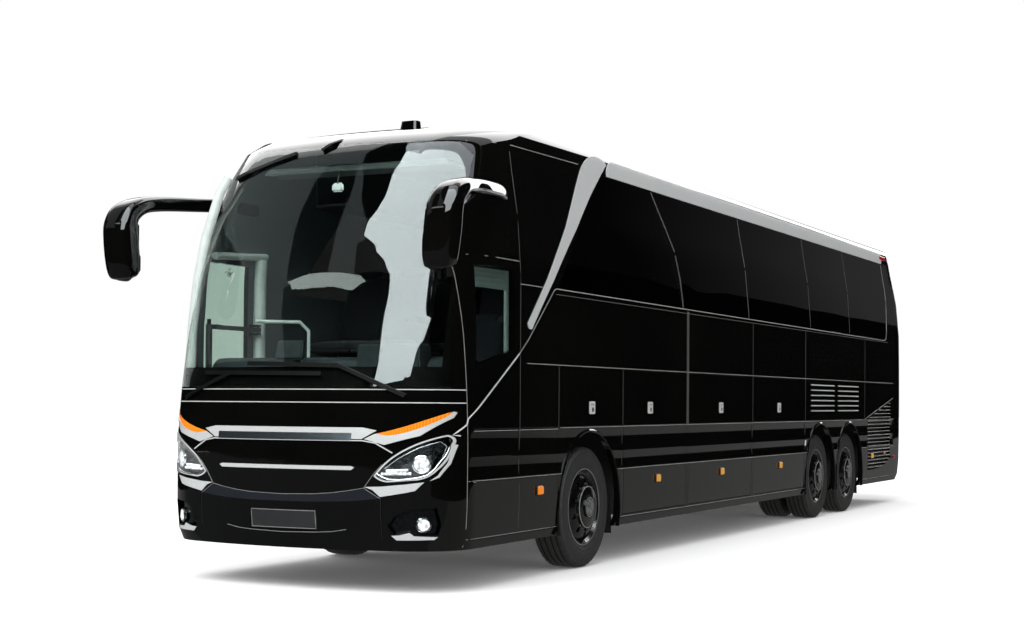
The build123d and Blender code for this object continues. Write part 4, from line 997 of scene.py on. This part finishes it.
# Mirrors: one swept moulding a side, through rings of (x, station, z, across, through).
mirrorRings = (
    (1.150, 1.290, 2.940, 0.080, 0.090), (1.235, 1.000, 2.953, 0.085, 0.105), (1.315, 0.650, 2.932, 0.095, 0.110),
    (1.365, 0.320, 2.905, 0.125, 0.115), (1.390, 0.090, 2.868, 0.185, 0.130), (1.400, -0.060, 2.795, 0.225, 0.165),
    (1.398, -0.122, 2.700, 0.245, 0.188), (1.388, -0.130, 2.580, 0.252, 0.199), (1.372, -0.130, 2.430, 0.246, 0.196),
    (1.362, -0.126, 2.335, 0.226, 0.172), (1.360, -0.120, 2.300, 0.180, 0.120), (1.360, -0.118, 2.294, 0.090, 0.050),
)
mirrorSides = 40


def between(rings, at):
    i = min(int(at), len(rings) - 2)
    t = at - i
    p = [np.array(rings[max(0, min(k, len(rings) - 1))]) for k in (i - 1, i, i + 1, i + 2)]
    return 0.5 * (2 * p[1] + (p[2] - p[0]) * t + (2 * p[0] - 5 * p[1] + 4 * p[2] - p[3]) * t**2
                  + (3 * p[1] - p[0] - 3 * p[2] + p[3]) * t**3)


def mirrorMesh(side, word):
    work = bmesh.new()
    grid = []
    finest = 6
    count = (len(mirrorRings) - 1) * finest
    for step in range(count + 1):
        at = step / finest
        ring = between(mirrorRings, at)
        ahead = between(mirrorRings, min(at + 0.15, len(mirrorRings) - 1))
        behind = between(mirrorRings, max(at - 0.15, 0))
        along = Vector((side * (ahead[0] - behind[0]), ahead[1] - behind[1], ahead[2] - behind[2])).normalized()
        across = Vector((1, 0, 0))
        across = (across - along * across.dot(along)).normalized()
        through = along.cross(across)
        middle = Vector((side * ring[0], stationY(ring[1]), ring[2]))
        row = []
        for turn in range(mirrorSides):
            angle = 2 * math.pi * turn / mirrorSides
            c, s = math.cos(angle), math.sin(angle)
            bend = 2 / 3.2  # between an ellipse and a rectangle
            u = math.copysign(abs(c) ** bend, c) * ring[3] / 2
            v = math.copysign(abs(s) ** bend, s) * ring[4] / 2
            row.append(work.verts.new(middle + across * u + through * v))
        grid.append(row)
    bridge(work, grid)
    return finishMesh(work, "mirrorShell" + word, glossBlack, weld=False)


for side, word in ((1, "Left"), (-1, "Right")):
    addPiece("mirrorShell" + word, mirrorMesh(side, word), "coach", ("mirrors",))


# Mirror glasses face rearwards out of the heads: a tall one over a small wide-angle one.
def mirrorGlass(name, side, x, z, wide, tall, face):
    outline = roundedOutline(wide, tall, 0.022, 18)
    vertices = [(side * x, stationY(face) + 0.004, z)]
    for shrink, out in ((0.55, 0.0036), (0.94, 0.002), (1.0, 0.0)):
        vertices += [(side * x + u * shrink, stationY(face) + out, z + v * shrink) for u, v in outline]
    count = len(outline)
    faces = [(0, 1 + i, 1 + (i + 1) % count) for i in range(count)]
    for layer in (0, 1):
        start = 1 + layer * count
        faces += [(start + i, start + count + i, start + count + (i + 1) % count, start + (i + 1) % count)
                  for i in range(count)]
    addSheet(name, vertices, faces, mirrorSilver, smooth=True)


for side, word in ((1, "Left"), (-1, "Right")):
    mirrorGlass("mainMirrorGlass" + word, side, 1.388, 2.610, 0.182, 0.210, -0.0305)
    mirrorGlass("wideMirrorGlass" + word, side, 1.368, 2.412, 0.178, 0.135, -0.0325)
print("stage: mirrors")
# Cabin. Seats: floor heights and the places of the pairs, as in the part's source; every seat faces forwards.
seatPlan = {
    "deck": 1.460, "cabFloor": 1.000, "firstRow": 2.080, "pitch": 0.800, "rows": 13,
    "aisle": 0.250, "outer": 1.150, "stairRows": (5, 6),
    "driver": (1.185, 0.420, 0.900),
    "cushion": {"middle": (0.185, 0.395), "size": (0.500, 0.100), "tilt": -4.0},
    "back": {"middle": (0.575, 0.735), "size": (0.110, 0.640), "tilt": 17.0},
    "head": {"middle": (0.662, 1.010), "size": (0.085, 0.150), "tilt": 17.0},
}


def padInto(work, middle, size, tilt, channels=0, sides=28, rings=14):
    lean = math.radians(tilt)
    flat, crown = 2 / 7.0, 2 / 2.6  # squareness of the outline, roundness of the crown
    grid = []
    for ring in range(rings + 1):
        latitude = math.pi * (ring / rings - 0.5)
        across = math.copysign(abs(math.sin(latitude)) ** crown, math.sin(latitude))
        spread = abs(math.cos(latitude)) ** 0.55
        row = []
        for turn in range(sides):
            angle = 2 * math.pi * turn / sides
            u = math.copysign(abs(math.cos(angle)) ** flat, math.cos(angle)) * spread
            v = math.copysign(abs(math.sin(angle)) ** flat, math.sin(angle)) * spread
            tuck = 1 - 0.035 * (1 - u * u) * (1 if abs(v) > 0.9 else 0)
            sewn = 1 - (0.10 * abs(math.cos(math.pi * channels * v)) ** 8 if channels else 0)
            x = u * size[0] / 2
            if size[1] < size[2]:
                local = Vector((x, across * size[1] / 2 * sewn, v * tuck * size[2] / 2))
            else:
                local = Vector((x, v * tuck * size[1] / 2, across * size[2] / 2 * sewn))
            turned = Vector((local.x, local.y * math.cos(lean) + local.z * math.sin(lean),
                             local.z * math.cos(lean) - local.y * math.sin(lean)))
            row.append(work.verts.new(middle + turned))
        grid.append(row)
    bridge(work, grid)


def seatPlaces():
    places = []
    for row in range(seatPlan["rows"]):
        station = seatPlan["firstRow"] + seatPlan["pitch"] * row
        for side in (1, -1):
            if side < 0 and row in seatPlan["stairRows"]:
                continue
            wide = (seatPlan["outer"] - seatPlan["aisle"]) / 2
            for index in (0, 1):
                places.append((side * (seatPlan["aisle"] + wide * (index + 0.5)), station, wide - 0.02))
    return places


def padsOf(part, places, floor, channels):
    shape = seatPlan[part]
    work = bmesh.new()
    for x, station, wide in places:
        along, high = shape["middle"]
        spread = wide if part != "head" else wide * 0.62
        padInto(work, Vector((x, stationY(station + along), floor + high)), (spread, *shape["size"]), shape["tilt"],
                channels)
    return work


saloon = seatPlaces()
station, x0, x1 = seatPlan["driver"]
driver = [((x0 + x1) / 2, station, x1 - x0 - 0.02)]
for word, places, floor in (("saloon", saloon, seatPlan["deck"]), ("driver", driver, seatPlan["cabFloor"])):
    for part, channels in (("cushion", 2), ("back", 3), ("head", 0)):
        name = f"{word}Seat{part.capitalize()}"
        pad = addPiece(name, finishMesh(padsOf(part, places, floor, channels), name, plush, True, 60), "coach",
                       ("seats",))


# Seat frames: a moulded shell behind each back, a pan under the cushion, a pedestal to the floor and an arm on the
# aisle seat, each drawn out from its own outline.
def extrudeOutline(work, outline, x0, x1, place):
    near = [work.verts.new(place(x0, a, b)) for a, b in outline]
    far = [work.verts.new(place(x1, a, b)) for a, b in outline]
    count = len(outline)
    for i in range(count):
        j = (i + 1) % count
        work.faces.new((near[i], near[j], far[j], far[i]))
    work.faces.new(near)
    work.faces.new(list(reversed(far)))


shellOutline = ((0.470, 0.330), (0.560, 0.400), (0.640, 0.700), (0.700, 1.030), (0.692, 1.062), (0.676, 1.070),
                (0.668, 1.030), (0.612, 0.700), (0.540, 0.430), (0.455, 0.352))
panOutline = ((-0.045, 0.330), (0.455, 0.300), (0.470, 0.330), (0.450, 0.352), (-0.040, 0.362), (-0.056, 0.348))
legOutline = ((0.060, 0.0), (0.300, 0.0), (0.300, 0.030), (0.230, 0.060), (0.245, 0.310), (0.120, 0.318),
              (0.110, 0.060), (0.060, 0.030))
armOutline = ((0.130, 0.600), (0.500, 0.600), (0.540, 0.625), (0.500, 0.650), (0.140, 0.645), (0.115, 0.622))
for word, places, floor in (("saloon", saloon, seatPlan["deck"]), ("driver", driver, seatPlan["cabFloor"])):
    work = bmesh.new()
    for x, station, wide in places:
        def place(across, along, up):
            return Vector((across, stationY(station + along), floor + up))

        for outline, half in ((shellOutline, wide / 2), (panOutline, wide / 2), (legOutline, 0.030)):
            extrudeOutline(work, outline, x - half, x + half, place)
        towardsAisle = -1 if x > 0 else 1
        if abs(x) < 0.5 or word == "driver":  # one arm, on the aisle seat
            edge = x + towardsAisle * (wide / 2 + 0.001)
            extrudeOutline(work, armOutline, edge, edge + towardsAisle * 0.038, place)
    bmesh.ops.recalc_face_normals(work, faces=work.faces)
    bmesh.ops.bevel(work, geom=[e for e in work.edges if e.calc_face_angle(0) > 1.2], offset=0.004, segments=1,
                    affect="EDGES", clamp_overlap=True)
    name = f"{word}SeatFrames"
    addPiece(name, finishMesh(work, name, blackAbs, True, 30), "coach", ("seats",))
print("stage: seats")


# A bevelled housing with rounded edges, for small fittings in the cab.
def housing(name, middle, size, material, turn=0.0, lean=0.0, bevel=0.012, body="coach"):
    work = bmesh.new()
    bmesh.ops.create_cube(work, size=1.0)
    for vertex in work.verts:
        taper = 0.94 if vertex.co.z > 0 else 1.0
        vertex.co = Vector((vertex.co.x * size[0] * taper, vertex.co.y * size[1] * taper, vertex.co.z * size[2]))
    bmesh.ops.bevel(work, geom=work.edges[:], offset=bevel, segments=3, affect="EDGES", clamp_overlap=True)
    turned = Matrix.Translation(middle) @ Matrix.Rotation(math.radians(turn), 4, "Z") @ Matrix.Rotation(
        math.radians(lean), 4, "X")
    bmesh.ops.transform(work, matrix=turned, verts=work.verts)
    return addPiece(name, finishMesh(work, name, material, True, 50), body)


cabFittings = {
    "monitor": {"place": (-0.270, 0.500, 1.760), "size": (0.245, 0.050, 0.150)},
    "monitorFoot": {"place": (-0.270, 0.520, 1.665), "size": (0.120, 0.090, 0.070)},
    "binnacle": {"place": (0.560, 0.640, 1.640), "size": (0.560, 0.210, 0.330)},
    "consoleLeft": {"place": (1.030, 0.780, 1.400), "size": (0.220, 0.360, 0.120)},
    "skyPanel": {"place": (0.0, 1.100, 3.200), "size": (1.700, 0.300, 0.050)},
}
for name, fitting in cabFittings.items():
    x, station, z = fitting["place"]
    housing(name, Vector((x, stationY(station), z)), fitting["size"], dashVinyl if name != "skyPanel" else greyTrim,
            lean=-12 if name == "monitor" else 0)
beads("innerMirrorStalk", [[Vector((-0.060, stationY(0.86), 3.16)), Vector((-0.050, stationY(0.81), 3.09)),
                            Vector((-0.048, stationY(0.80), 3.05))]], 0.008, blackAbs)
housing("innerMirror", Vector((-0.048, stationY(0.800), 3.024)), (0.105, 0.030, 0.070), paleTrim, bevel=0.014)
housing("doorLamp", Vector((-1.120, stationY(0.880), 2.405)), (0.080, 0.080, 0.070), paleTrim, bevel=0.030)
work = bmesh.new()
dashOutline = ((0.470, 1.440), (0.500, 1.560), (0.540, 1.660), (0.600, 1.705), (0.700, 1.715), (0.850, 1.660),
               (0.980, 1.540), (1.010, 1.440))
extrudeOutline(work, dashOutline, -1.120, 1.130,
               lambda x, station, z: Vector((x, stationY(station + 0.12 * (abs(x) / 1.1) ** 2), z)))
bmesh.ops.recalc_face_normals(work, faces=work.faces)
bmesh.ops.bevel(work, geom=[e for e in work.edges if e.calc_face_angle(0) > 0.5], offset=0.012, segments=2,
                affect="EDGES", clamp_overlap=True)
addPiece("dashTop", finishMesh(work, "dashTop", dashVinyl, True, 40), "coach")
beads("doorHeader", [sideRun(-1, [(0.700, 2.525), (1.480, 2.575)], -0.075)], 0.030, paleTrim, roundness=2)
beads("doorPost", [sideRun(-1, [(1.415, 1.10), (1.415, 2.55)], -0.075)], 0.055, paleTrim, roundness=2)
beads("frontPillarTrim", [[Vector((x, stationY(s), z)) for x, s, z in (
    (-1.165, 0.440, 1.58), (-1.160, 0.450, 1.90), (-1.125, 0.470, 2.30), (-1.075, 0.510, 2.66), (-0.985, 0.560, 3.00),
    (-0.930, 0.600, 3.12))]], 0.040, paleTrim, roundness=2)
blindRows = 9
vertices = [onSide(1, station, 2.372 - 0.140 * r / (blindRows - 1), -0.058 - 0.004 * (r % 2))
            for r in range(blindRows) for station in (0.655, 1.195)]
addSheet("driverBlind", vertices, gridFaces(2, blindRows), blindCloth)
beads("driverBlindPole", [sideRun(1, [(0.650, 2.228), (1.200, 2.228)], -0.060)], 0.006, paleTrim)
beads("driverWindowPost", [sideRun(1, [(1.180, 1.76), (1.180, 2.37)], -0.060)], 0.020, paleTrim)
beads("stairRail", [[Vector((-0.72, stationY(1.43), 1.10)), Vector((-0.72, stationY(1.43), 1.95)),
                     Vector((-0.76, stationY(1.36), 2.02)), Vector((-1.02, stationY(1.10), 2.02))]], 0.016, paleTrim)
print("stage: cabin")
# Rear: lamp rings under the red lenses, reflectors, the exhaust's end, the lid's lock and the roof's red corner lamps.
def rearDisc(name, x, z, radius, proud, material):
    centre = onRear(x, z, 0.0)
    work = bmesh.new()
    lathePoints = [(0.0, radius), (proud * 0.6, radius), (proud, radius * 0.86), (proud * 1.15, radius * 0.5),
                   (proud * 1.2, 0.0)]
    around = 40
    grid = []
    for step in range(around):
        angle = 2 * math.pi * step / around
        grid.append([work.verts.new((centre.x + r * math.cos(angle), centre.y + out, centre.z + r * math.sin(angle)))
                     for out, r in lathePoints])
    spin(work, grid)
    return addPiece(name, finishMesh(work, name, material, True, 40), "coach")


for side, word in ((1, "Left"), (-1, "Right")):
    rearDisc("rearReflector" + word, side * 1.02, 0.700, 0.035, 0.006, red)
    rearDisc("rearFogLamp" + word, side * 1.02, 0.800, 0.045, 0.007, red)
    for index, z in enumerate((1.020, 1.170, 1.320)):
        turns = [2 * math.pi * k / 24 for k in range(25)]
        ring = [onRear(side * (1.070 + 0.052 * math.cos(a)), z + 0.052 * math.sin(a), 0.0085) for a in turns]
        beads(f"tailLampRing{word}{index + 1}", [ring], 0.004, silver)
    sidePlate("roofMarkerLamp" + word, side, 13.12, 3.430, 0.330, 0.050, 0.012, 0.014, red, "coach")
    beads("cornerMarkerArm" + word, [[onSide(side, 13.100, 0.668, -0.005), onSide(side, 13.160, 0.660, 0.018),
                                      onSide(side, 13.230, 0.650, 0.030)]], 0.008, blackAbs, roundness=3)
    housing("cornerMarkerLamp" + word, onSide(side, 13.250, 0.648, 0.026), (0.034, 0.060, 0.052), red, bevel=0.010)
lid = bodyOf("engine_door")
work = bmesh.new()
extrudeOutline(work, ((0.0, -0.018), (0.010, -0.018), (0.018, -0.006), (0.018, 0.006), (0.010, 0.018), (0.0, 0.018)),
               -0.090, 0.090, lambda px, a, b: onRear(px, 0.900 + b, 0.001 + a))
addPiece("engineDoorHandle", finishMesh(work, "engineDoorHandle", blackAbs, True, 30), lid)
beads("exhaustEnd", [[Vector((-0.82, stationY(13.25), 0.345)), Vector((-0.82, stationY(13.62), 0.345)),
                      Vector((-0.82, stationY(13.78), 0.342))]], 0.042, nutSteel, roundness=4)
print("stage: rear")
# The studio: a pale floor, a white room, and dark and light cards that only show in reflections.
studio = {
    "floorSize": 300.0,
    "floorColour": "#f8f8f8",
    "floorGlow": 0.06,  # lifts the open floor to white for the camera and for reflections
    "worldStrength": 1.0,
    "keyEnergy": 2.4,
    "keySpread": 50.0,
}


def stagePlane(name, corners, material):
    mesh = bpy.data.meshes.new(name)
    mesh.from_pydata([tuple(c) for c in corners], [], [tuple(range(len(corners)))])
    mesh.materials.append(material)
    piece = bpy.data.objects.new(name, mesh)
    bpy.context.scene.collection.objects.link(piece)
    return piece


def floorMaterial():
    material = bpy.data.materials.new("paleStudioFloor")
    material.use_nodes = True
    tree = material.node_tree
    shader = tree.nodes["Principled BSDF"]
    for socket, value in (("Roughness", 1.0), ("Specular IOR Level", 0.0),
                          ("Base Color", linear(studio["floorColour"]))):
        shader.inputs[socket].default_value = value
    path = addNode(tree, "ShaderNodeLightPath")
    seen = addNode(tree, "ShaderNodeMath", {"operation": "MAXIMUM"},
                   {0: path.outputs["Is Camera Ray"], 1: path.outputs["Is Glossy Ray"]})
    seen = addNode(tree, "ShaderNodeMath", {"operation": "MAXIMUM"},
                   {0: seen.outputs[0], 1: path.outputs["Is Transmission Ray"]})
    glow = addNode(tree, "ShaderNodeEmission", {"Color": (1, 1, 1, 1)})
    strength = addNode(tree, "ShaderNodeMath", {"operation": "MULTIPLY", 1: studio["floorGlow"]}, {0: seen.outputs[0]})
    tree.links.new(strength.outputs[0], glow.inputs["Strength"])
    both = addNode(tree, "ShaderNodeAddShader", links={0: shader.outputs[0], 1: glow.outputs[0]})
    tree.links.new(both.outputs[0], tree.nodes["Material Output"].inputs["Surface"])
    return material


half = studio["floorSize"] / 2
stagePlane("studioFloor", [(-half, -half, 0), (half, -half, 0), (half, half, 0), (-half, half, 0)], floorMaterial())

world = bpy.data.worlds.new("studioWorld")
world.use_nodes = True
world.node_tree.nodes["Background"].inputs["Color"].default_value = (1, 1, 1, 1)
world.node_tree.nodes["Background"].inputs["Strength"].default_value = studio["worldStrength"]
bpy.context.scene.world = world


def cardMaterial(name, colour, strength):
    material = bpy.data.materials.new(name)
    material.use_nodes = True
    tree = material.node_tree
    tree.nodes.clear()
    glow = addNode(tree, "ShaderNodeEmission", {"Color": linear(colour), "Strength": strength})
    out = addNode(tree, "ShaderNodeOutputMaterial", links={"Surface": glow.outputs[0]})
    out.is_active_output = True
    return material


def reflectionCard(name, corners, colour, strength, throughGlass=True):  # a card: it only shows in reflections
    card = stagePlane(name, corners, cardMaterial(name + "Face", colour, strength))
    card.visible_camera = False
    card.visible_diffuse = False
    card.visible_transmission = throughGlass  # a pane's inner face reflects too, on a path that leaves the glass
    card.visible_volume_scatter = False
    card.visible_shadow = False
    return card


# Cards along the sides (x, lowest and highest z), graded from the front end of the card to the far one.
sideCards = {
    "flagX": 9.0, "flagTop": 5.05, "flagTone": "#0a0a0a", "front": -12.0, "back": 70.0,
    "greyTop": 8.5, "greyStops": ((17.0, "#161616"), (21.0, "#2a2a2a"), (29.0, "#3f3f3f"), (37.0, "#4e4e4e")),
    "farFlagX": -12.0, "farFlagTop": 4.6,
}


def gradedMaterial(name, stops):
    material = bpy.data.materials.new(name)
    material.use_nodes = True
    tree = material.node_tree
    tree.nodes.clear()
    coords = addNode(tree, "ShaderNodeTexCoord").outputs["Object"]
    distance = addNode(tree, "ShaderNodeSeparateXYZ", links={0: coords}).outputs["Y"]
    first, last = stops[0][0], stops[-1][0]
    share = addNode(tree, "ShaderNodeMapRange", {"From Min": first, "From Max": last}, {"Value": distance})
    ramp = addNode(tree, "ShaderNodeValToRGB", links={0: share.outputs[0]})
    marks = ramp.color_ramp.elements
    for index, (y, tone) in enumerate(stops):
        mark = marks[index] if index < 2 else marks.new((y - first) / (last - first))
        mark.position, mark.color = (y - first) / (last - first), linear(tone)
    glow = addNode(tree, "ShaderNodeEmission", links={"Color": ramp.outputs[0]})
    addNode(tree, "ShaderNodeOutputMaterial", links={"Surface": glow.outputs[0]})
    return material


def upright(x, top, low=0.0):
    front, back = sideCards["front"], sideCards["back"]
    return [(x, front, low), (x, back, low), (x, back, top), (x, front, top)]


reflectionCard("blackFlagLeft", upright(sideCards["flagX"], sideCards["flagTop"]), sideCards["flagTone"], 1.0)
greyCard = reflectionCard("greyFlagLeft", upright(sideCards["flagX"] + 0.05, sideCards["greyTop"], 4.9), "#303030", 1.0)
greyCard.data.materials[0] = gradedMaterial("greyFlagGraded", sideCards["greyStops"])
reflectionCard("blackFlagRight", upright(sideCards["farFlagX"], sideCards["farFlagTop"]), sideCards["flagTone"], 1.0,
               False)
reflectionCard("greyFlagRight", upright(sideCards["farFlagX"] - 0.05, 9.0, 4.4), "#2c2c2c", 1.0, False)
reflectionCard("sideFloorCloth", [(-40, -7, 0.004), (40, -7, 0.004), (40, 70, 0.004), (-40, 70, 0.004)],
               "#7c7c7b", 1.0, False)
reflectionCard("frontFloorCloth", [(-40, -60, 0.004), (40, -60, 0.004), (40, -7, 0.004), (-40, -7, 0.004)],
               "#5c5e60", 1.0, False)

# Cards before the nose. A low flag stands up ahead of it, the others hang level overhead: (x, y) outlines.
noseCards = {
    "height": 14.0,
    "flag": ((-60, 0), (60, 0), (60, 8.8), (-60, 8.8)),
    "flagY": -30.0,
    "window": ((-3.1, -7.0), (-2.9, -10.0), (-3.2, -13.3), (-3.9, -16.4), (-5.2, -19.7), (-4.1, -20.2), (-3.2, -21.6),
               (-2.7, -25.2), (-2.7, -27.5), (-3.1, -29.0), (-4.3, -39.3), (-5.1, -42.9), (-5.8, -46.2),
               (-1.1, -44.6), (7.2, -41.9), (8.6, -40.3), (16.3, -35.3), (16.1, -25.0), (13.8, -19.7),
               (15.0, -12.0), (13.1, -6.6), (4.7, -6.6)),
    "windowEdge": ((-4.1, -2.9), (-1.0, -2.9), (4.0, -3.0), (13.0, -4.4), (13.1, -6.8), (4.7, -6.8), (-3.1, -7.2)),
    "stripe": ((-6.9, -8.7), (-5.0, -9.4), (-5.6, -12.8), (-6.6, -16.0), (-7.6, -18.5), (-8.2, -19.6), (-8.8, -21.0),
               (-9.9, -23.8), (-16.0, -23.8), (-15.4, -22.5), (-12.8, -18.3), (-11.7, -16.9), (-9.1, -12.5),
               (-7.9, -11.0)),
    "shade": ((-5.8, -20.0), (-5.0, -19.9), (-3.9, -20.7), (-3.2, -22.2), (-2.9, -24.9), (-2.7, -26.9), (-2.8, -29.2),
              (-3.3, -33.5), (-4.4, -39.6), (-4.9, -42.8), (-26.0, -42.3), (-17.2, -24.6), (-6.9, -25.6)),
    "foot": ((-160, -2), (-84, -5), (-51, -26.3), (-20, -38.0), (-7.0, -40.2), (-5.0, -43), (-5.0, -200),
             (-260, -200), (-260, -2)),
    "rightShade": ((-5, -2), (160, -2), (160, -200), (-5, -200)),
    "crescent": ((-16.0, -23.9), (-15.8, -25.1), (-7.2, -27.0), (-5.6, -26.5), (-6.1, -25.1), (-8.2, -23.9),
                 (-10.6, -23.3), (-13.6, -23.3)),
    "haze": ((-60, -60), (30, -60), (30, -5), (-60, -5)),
    "windowStrength": 9.0, "edgeStrength": 3.2, "crescentStrength": 4.2, "hazeStrength": 0.4,
}
flagY = noseCards["flagY"]
reflectionCard("noseFlagCard", [(x, flagY, z) for x, z in noseCards["flag"]], "#191919", 1.0)
for order, (name, tone, strength) in enumerate((("crescent", "#dde8e4", noseCards["crescentStrength"]),
                                                ("window", "#e9f1f4", noseCards["windowStrength"]),
                                                ("windowEdge", "#dfe3ea", noseCards["edgeStrength"]),
                                                ("shade", "#0c0c0c", 1.0), ("stripe", "#0c0c0c", 1.0),
                                                ("foot", "#101010", 1.0), ("rightShade", "#141414", 1.0),
                                                ("haze", "#e2ecee", noseCards["hazeStrength"]))):
    level = noseCards["height"] + 0.02 * order
    reflectionCard(name + "Card", [(x, y, level) for x, y in noseCards[name]], tone, strength)
reflectionCard("ceilingCard", [(-40, -2, 14), (-3, -2, 14), (-3, 44, 14), (-40, 44, 14)], "#ffffff", 3.0, False)
reflectionCard("farCeilingCard", [(-90, 44, 14), (-3, 44, 14), (-3, 200, 14), (-90, 200, 14)], "#343434", 1.0, False)
reflectionCard("shoulderCard", [(-3, 1, 14), (6, 1, 14), (6, 110, 14), (-3, 110, 14)], "#ffffff", 5.0, False)
reflectionCard("shoulderFlag", [(6, -2, 14), (60, -2, 14), (60, 110, 14), (6, 110, 14)], "#181818", 1.0)
sun = bpy.data.lights.new("studioKey", "SUN")
sun.energy = studio["keyEnergy"]
sun.angle = math.radians(studio["keySpread"])
key = bpy.data.objects.new("studioKey", sun)
key.rotation_euler = (math.radians(42), 0, math.radians(-6))  # high, from ahead of the coach
key.visible_glossy = False
bpy.context.scene.collection.objects.link(key)
print("stage: studio set")

# The camera, at the viewing angle.
cameraPlace = {
    "location": Vector((6.8185, -16.8723, 1.3786)),
    "azimuth": math.radians(26.338),
    "pitch": math.radians(-0.772),  # negative looks up
    "roll": math.radians(0.378),
    "lens": 58.16,
    "shiftUp": 0.0583,
}
azimuth, pitch, roll = cameraPlace["azimuth"], cameraPlace["pitch"], cameraPlace["roll"]
aim = Vector((-math.sin(azimuth) * math.cos(pitch), math.cos(azimuth) * math.cos(pitch), -math.sin(pitch)))
right = Vector((math.cos(azimuth), math.sin(azimuth), 0))
upward = right.cross(aim)
rolledRight = right * math.cos(roll) + upward * math.sin(roll)
rolledUp = upward * math.cos(roll) - right * math.sin(roll)
cameraData = bpy.data.cameras.new("studioCamera")
cameraData.lens = cameraPlace["lens"]
cameraData.sensor_width = 36.0
cameraData.shift_y = cameraPlace["shiftUp"]
cameraData.clip_end = 400
camera = bpy.data.objects.new("studioCamera", cameraData)
bpy.context.scene.collection.objects.link(camera)
turn = Matrix((rolledRight, rolledUp, -aim)).transposed().to_4x4()
camera.matrix_world = Matrix.Translation(cameraPlace["location"]) @ turn
bpy.context.scene.camera = camera

bpy.context.scene.view_settings.view_transform = "Standard"
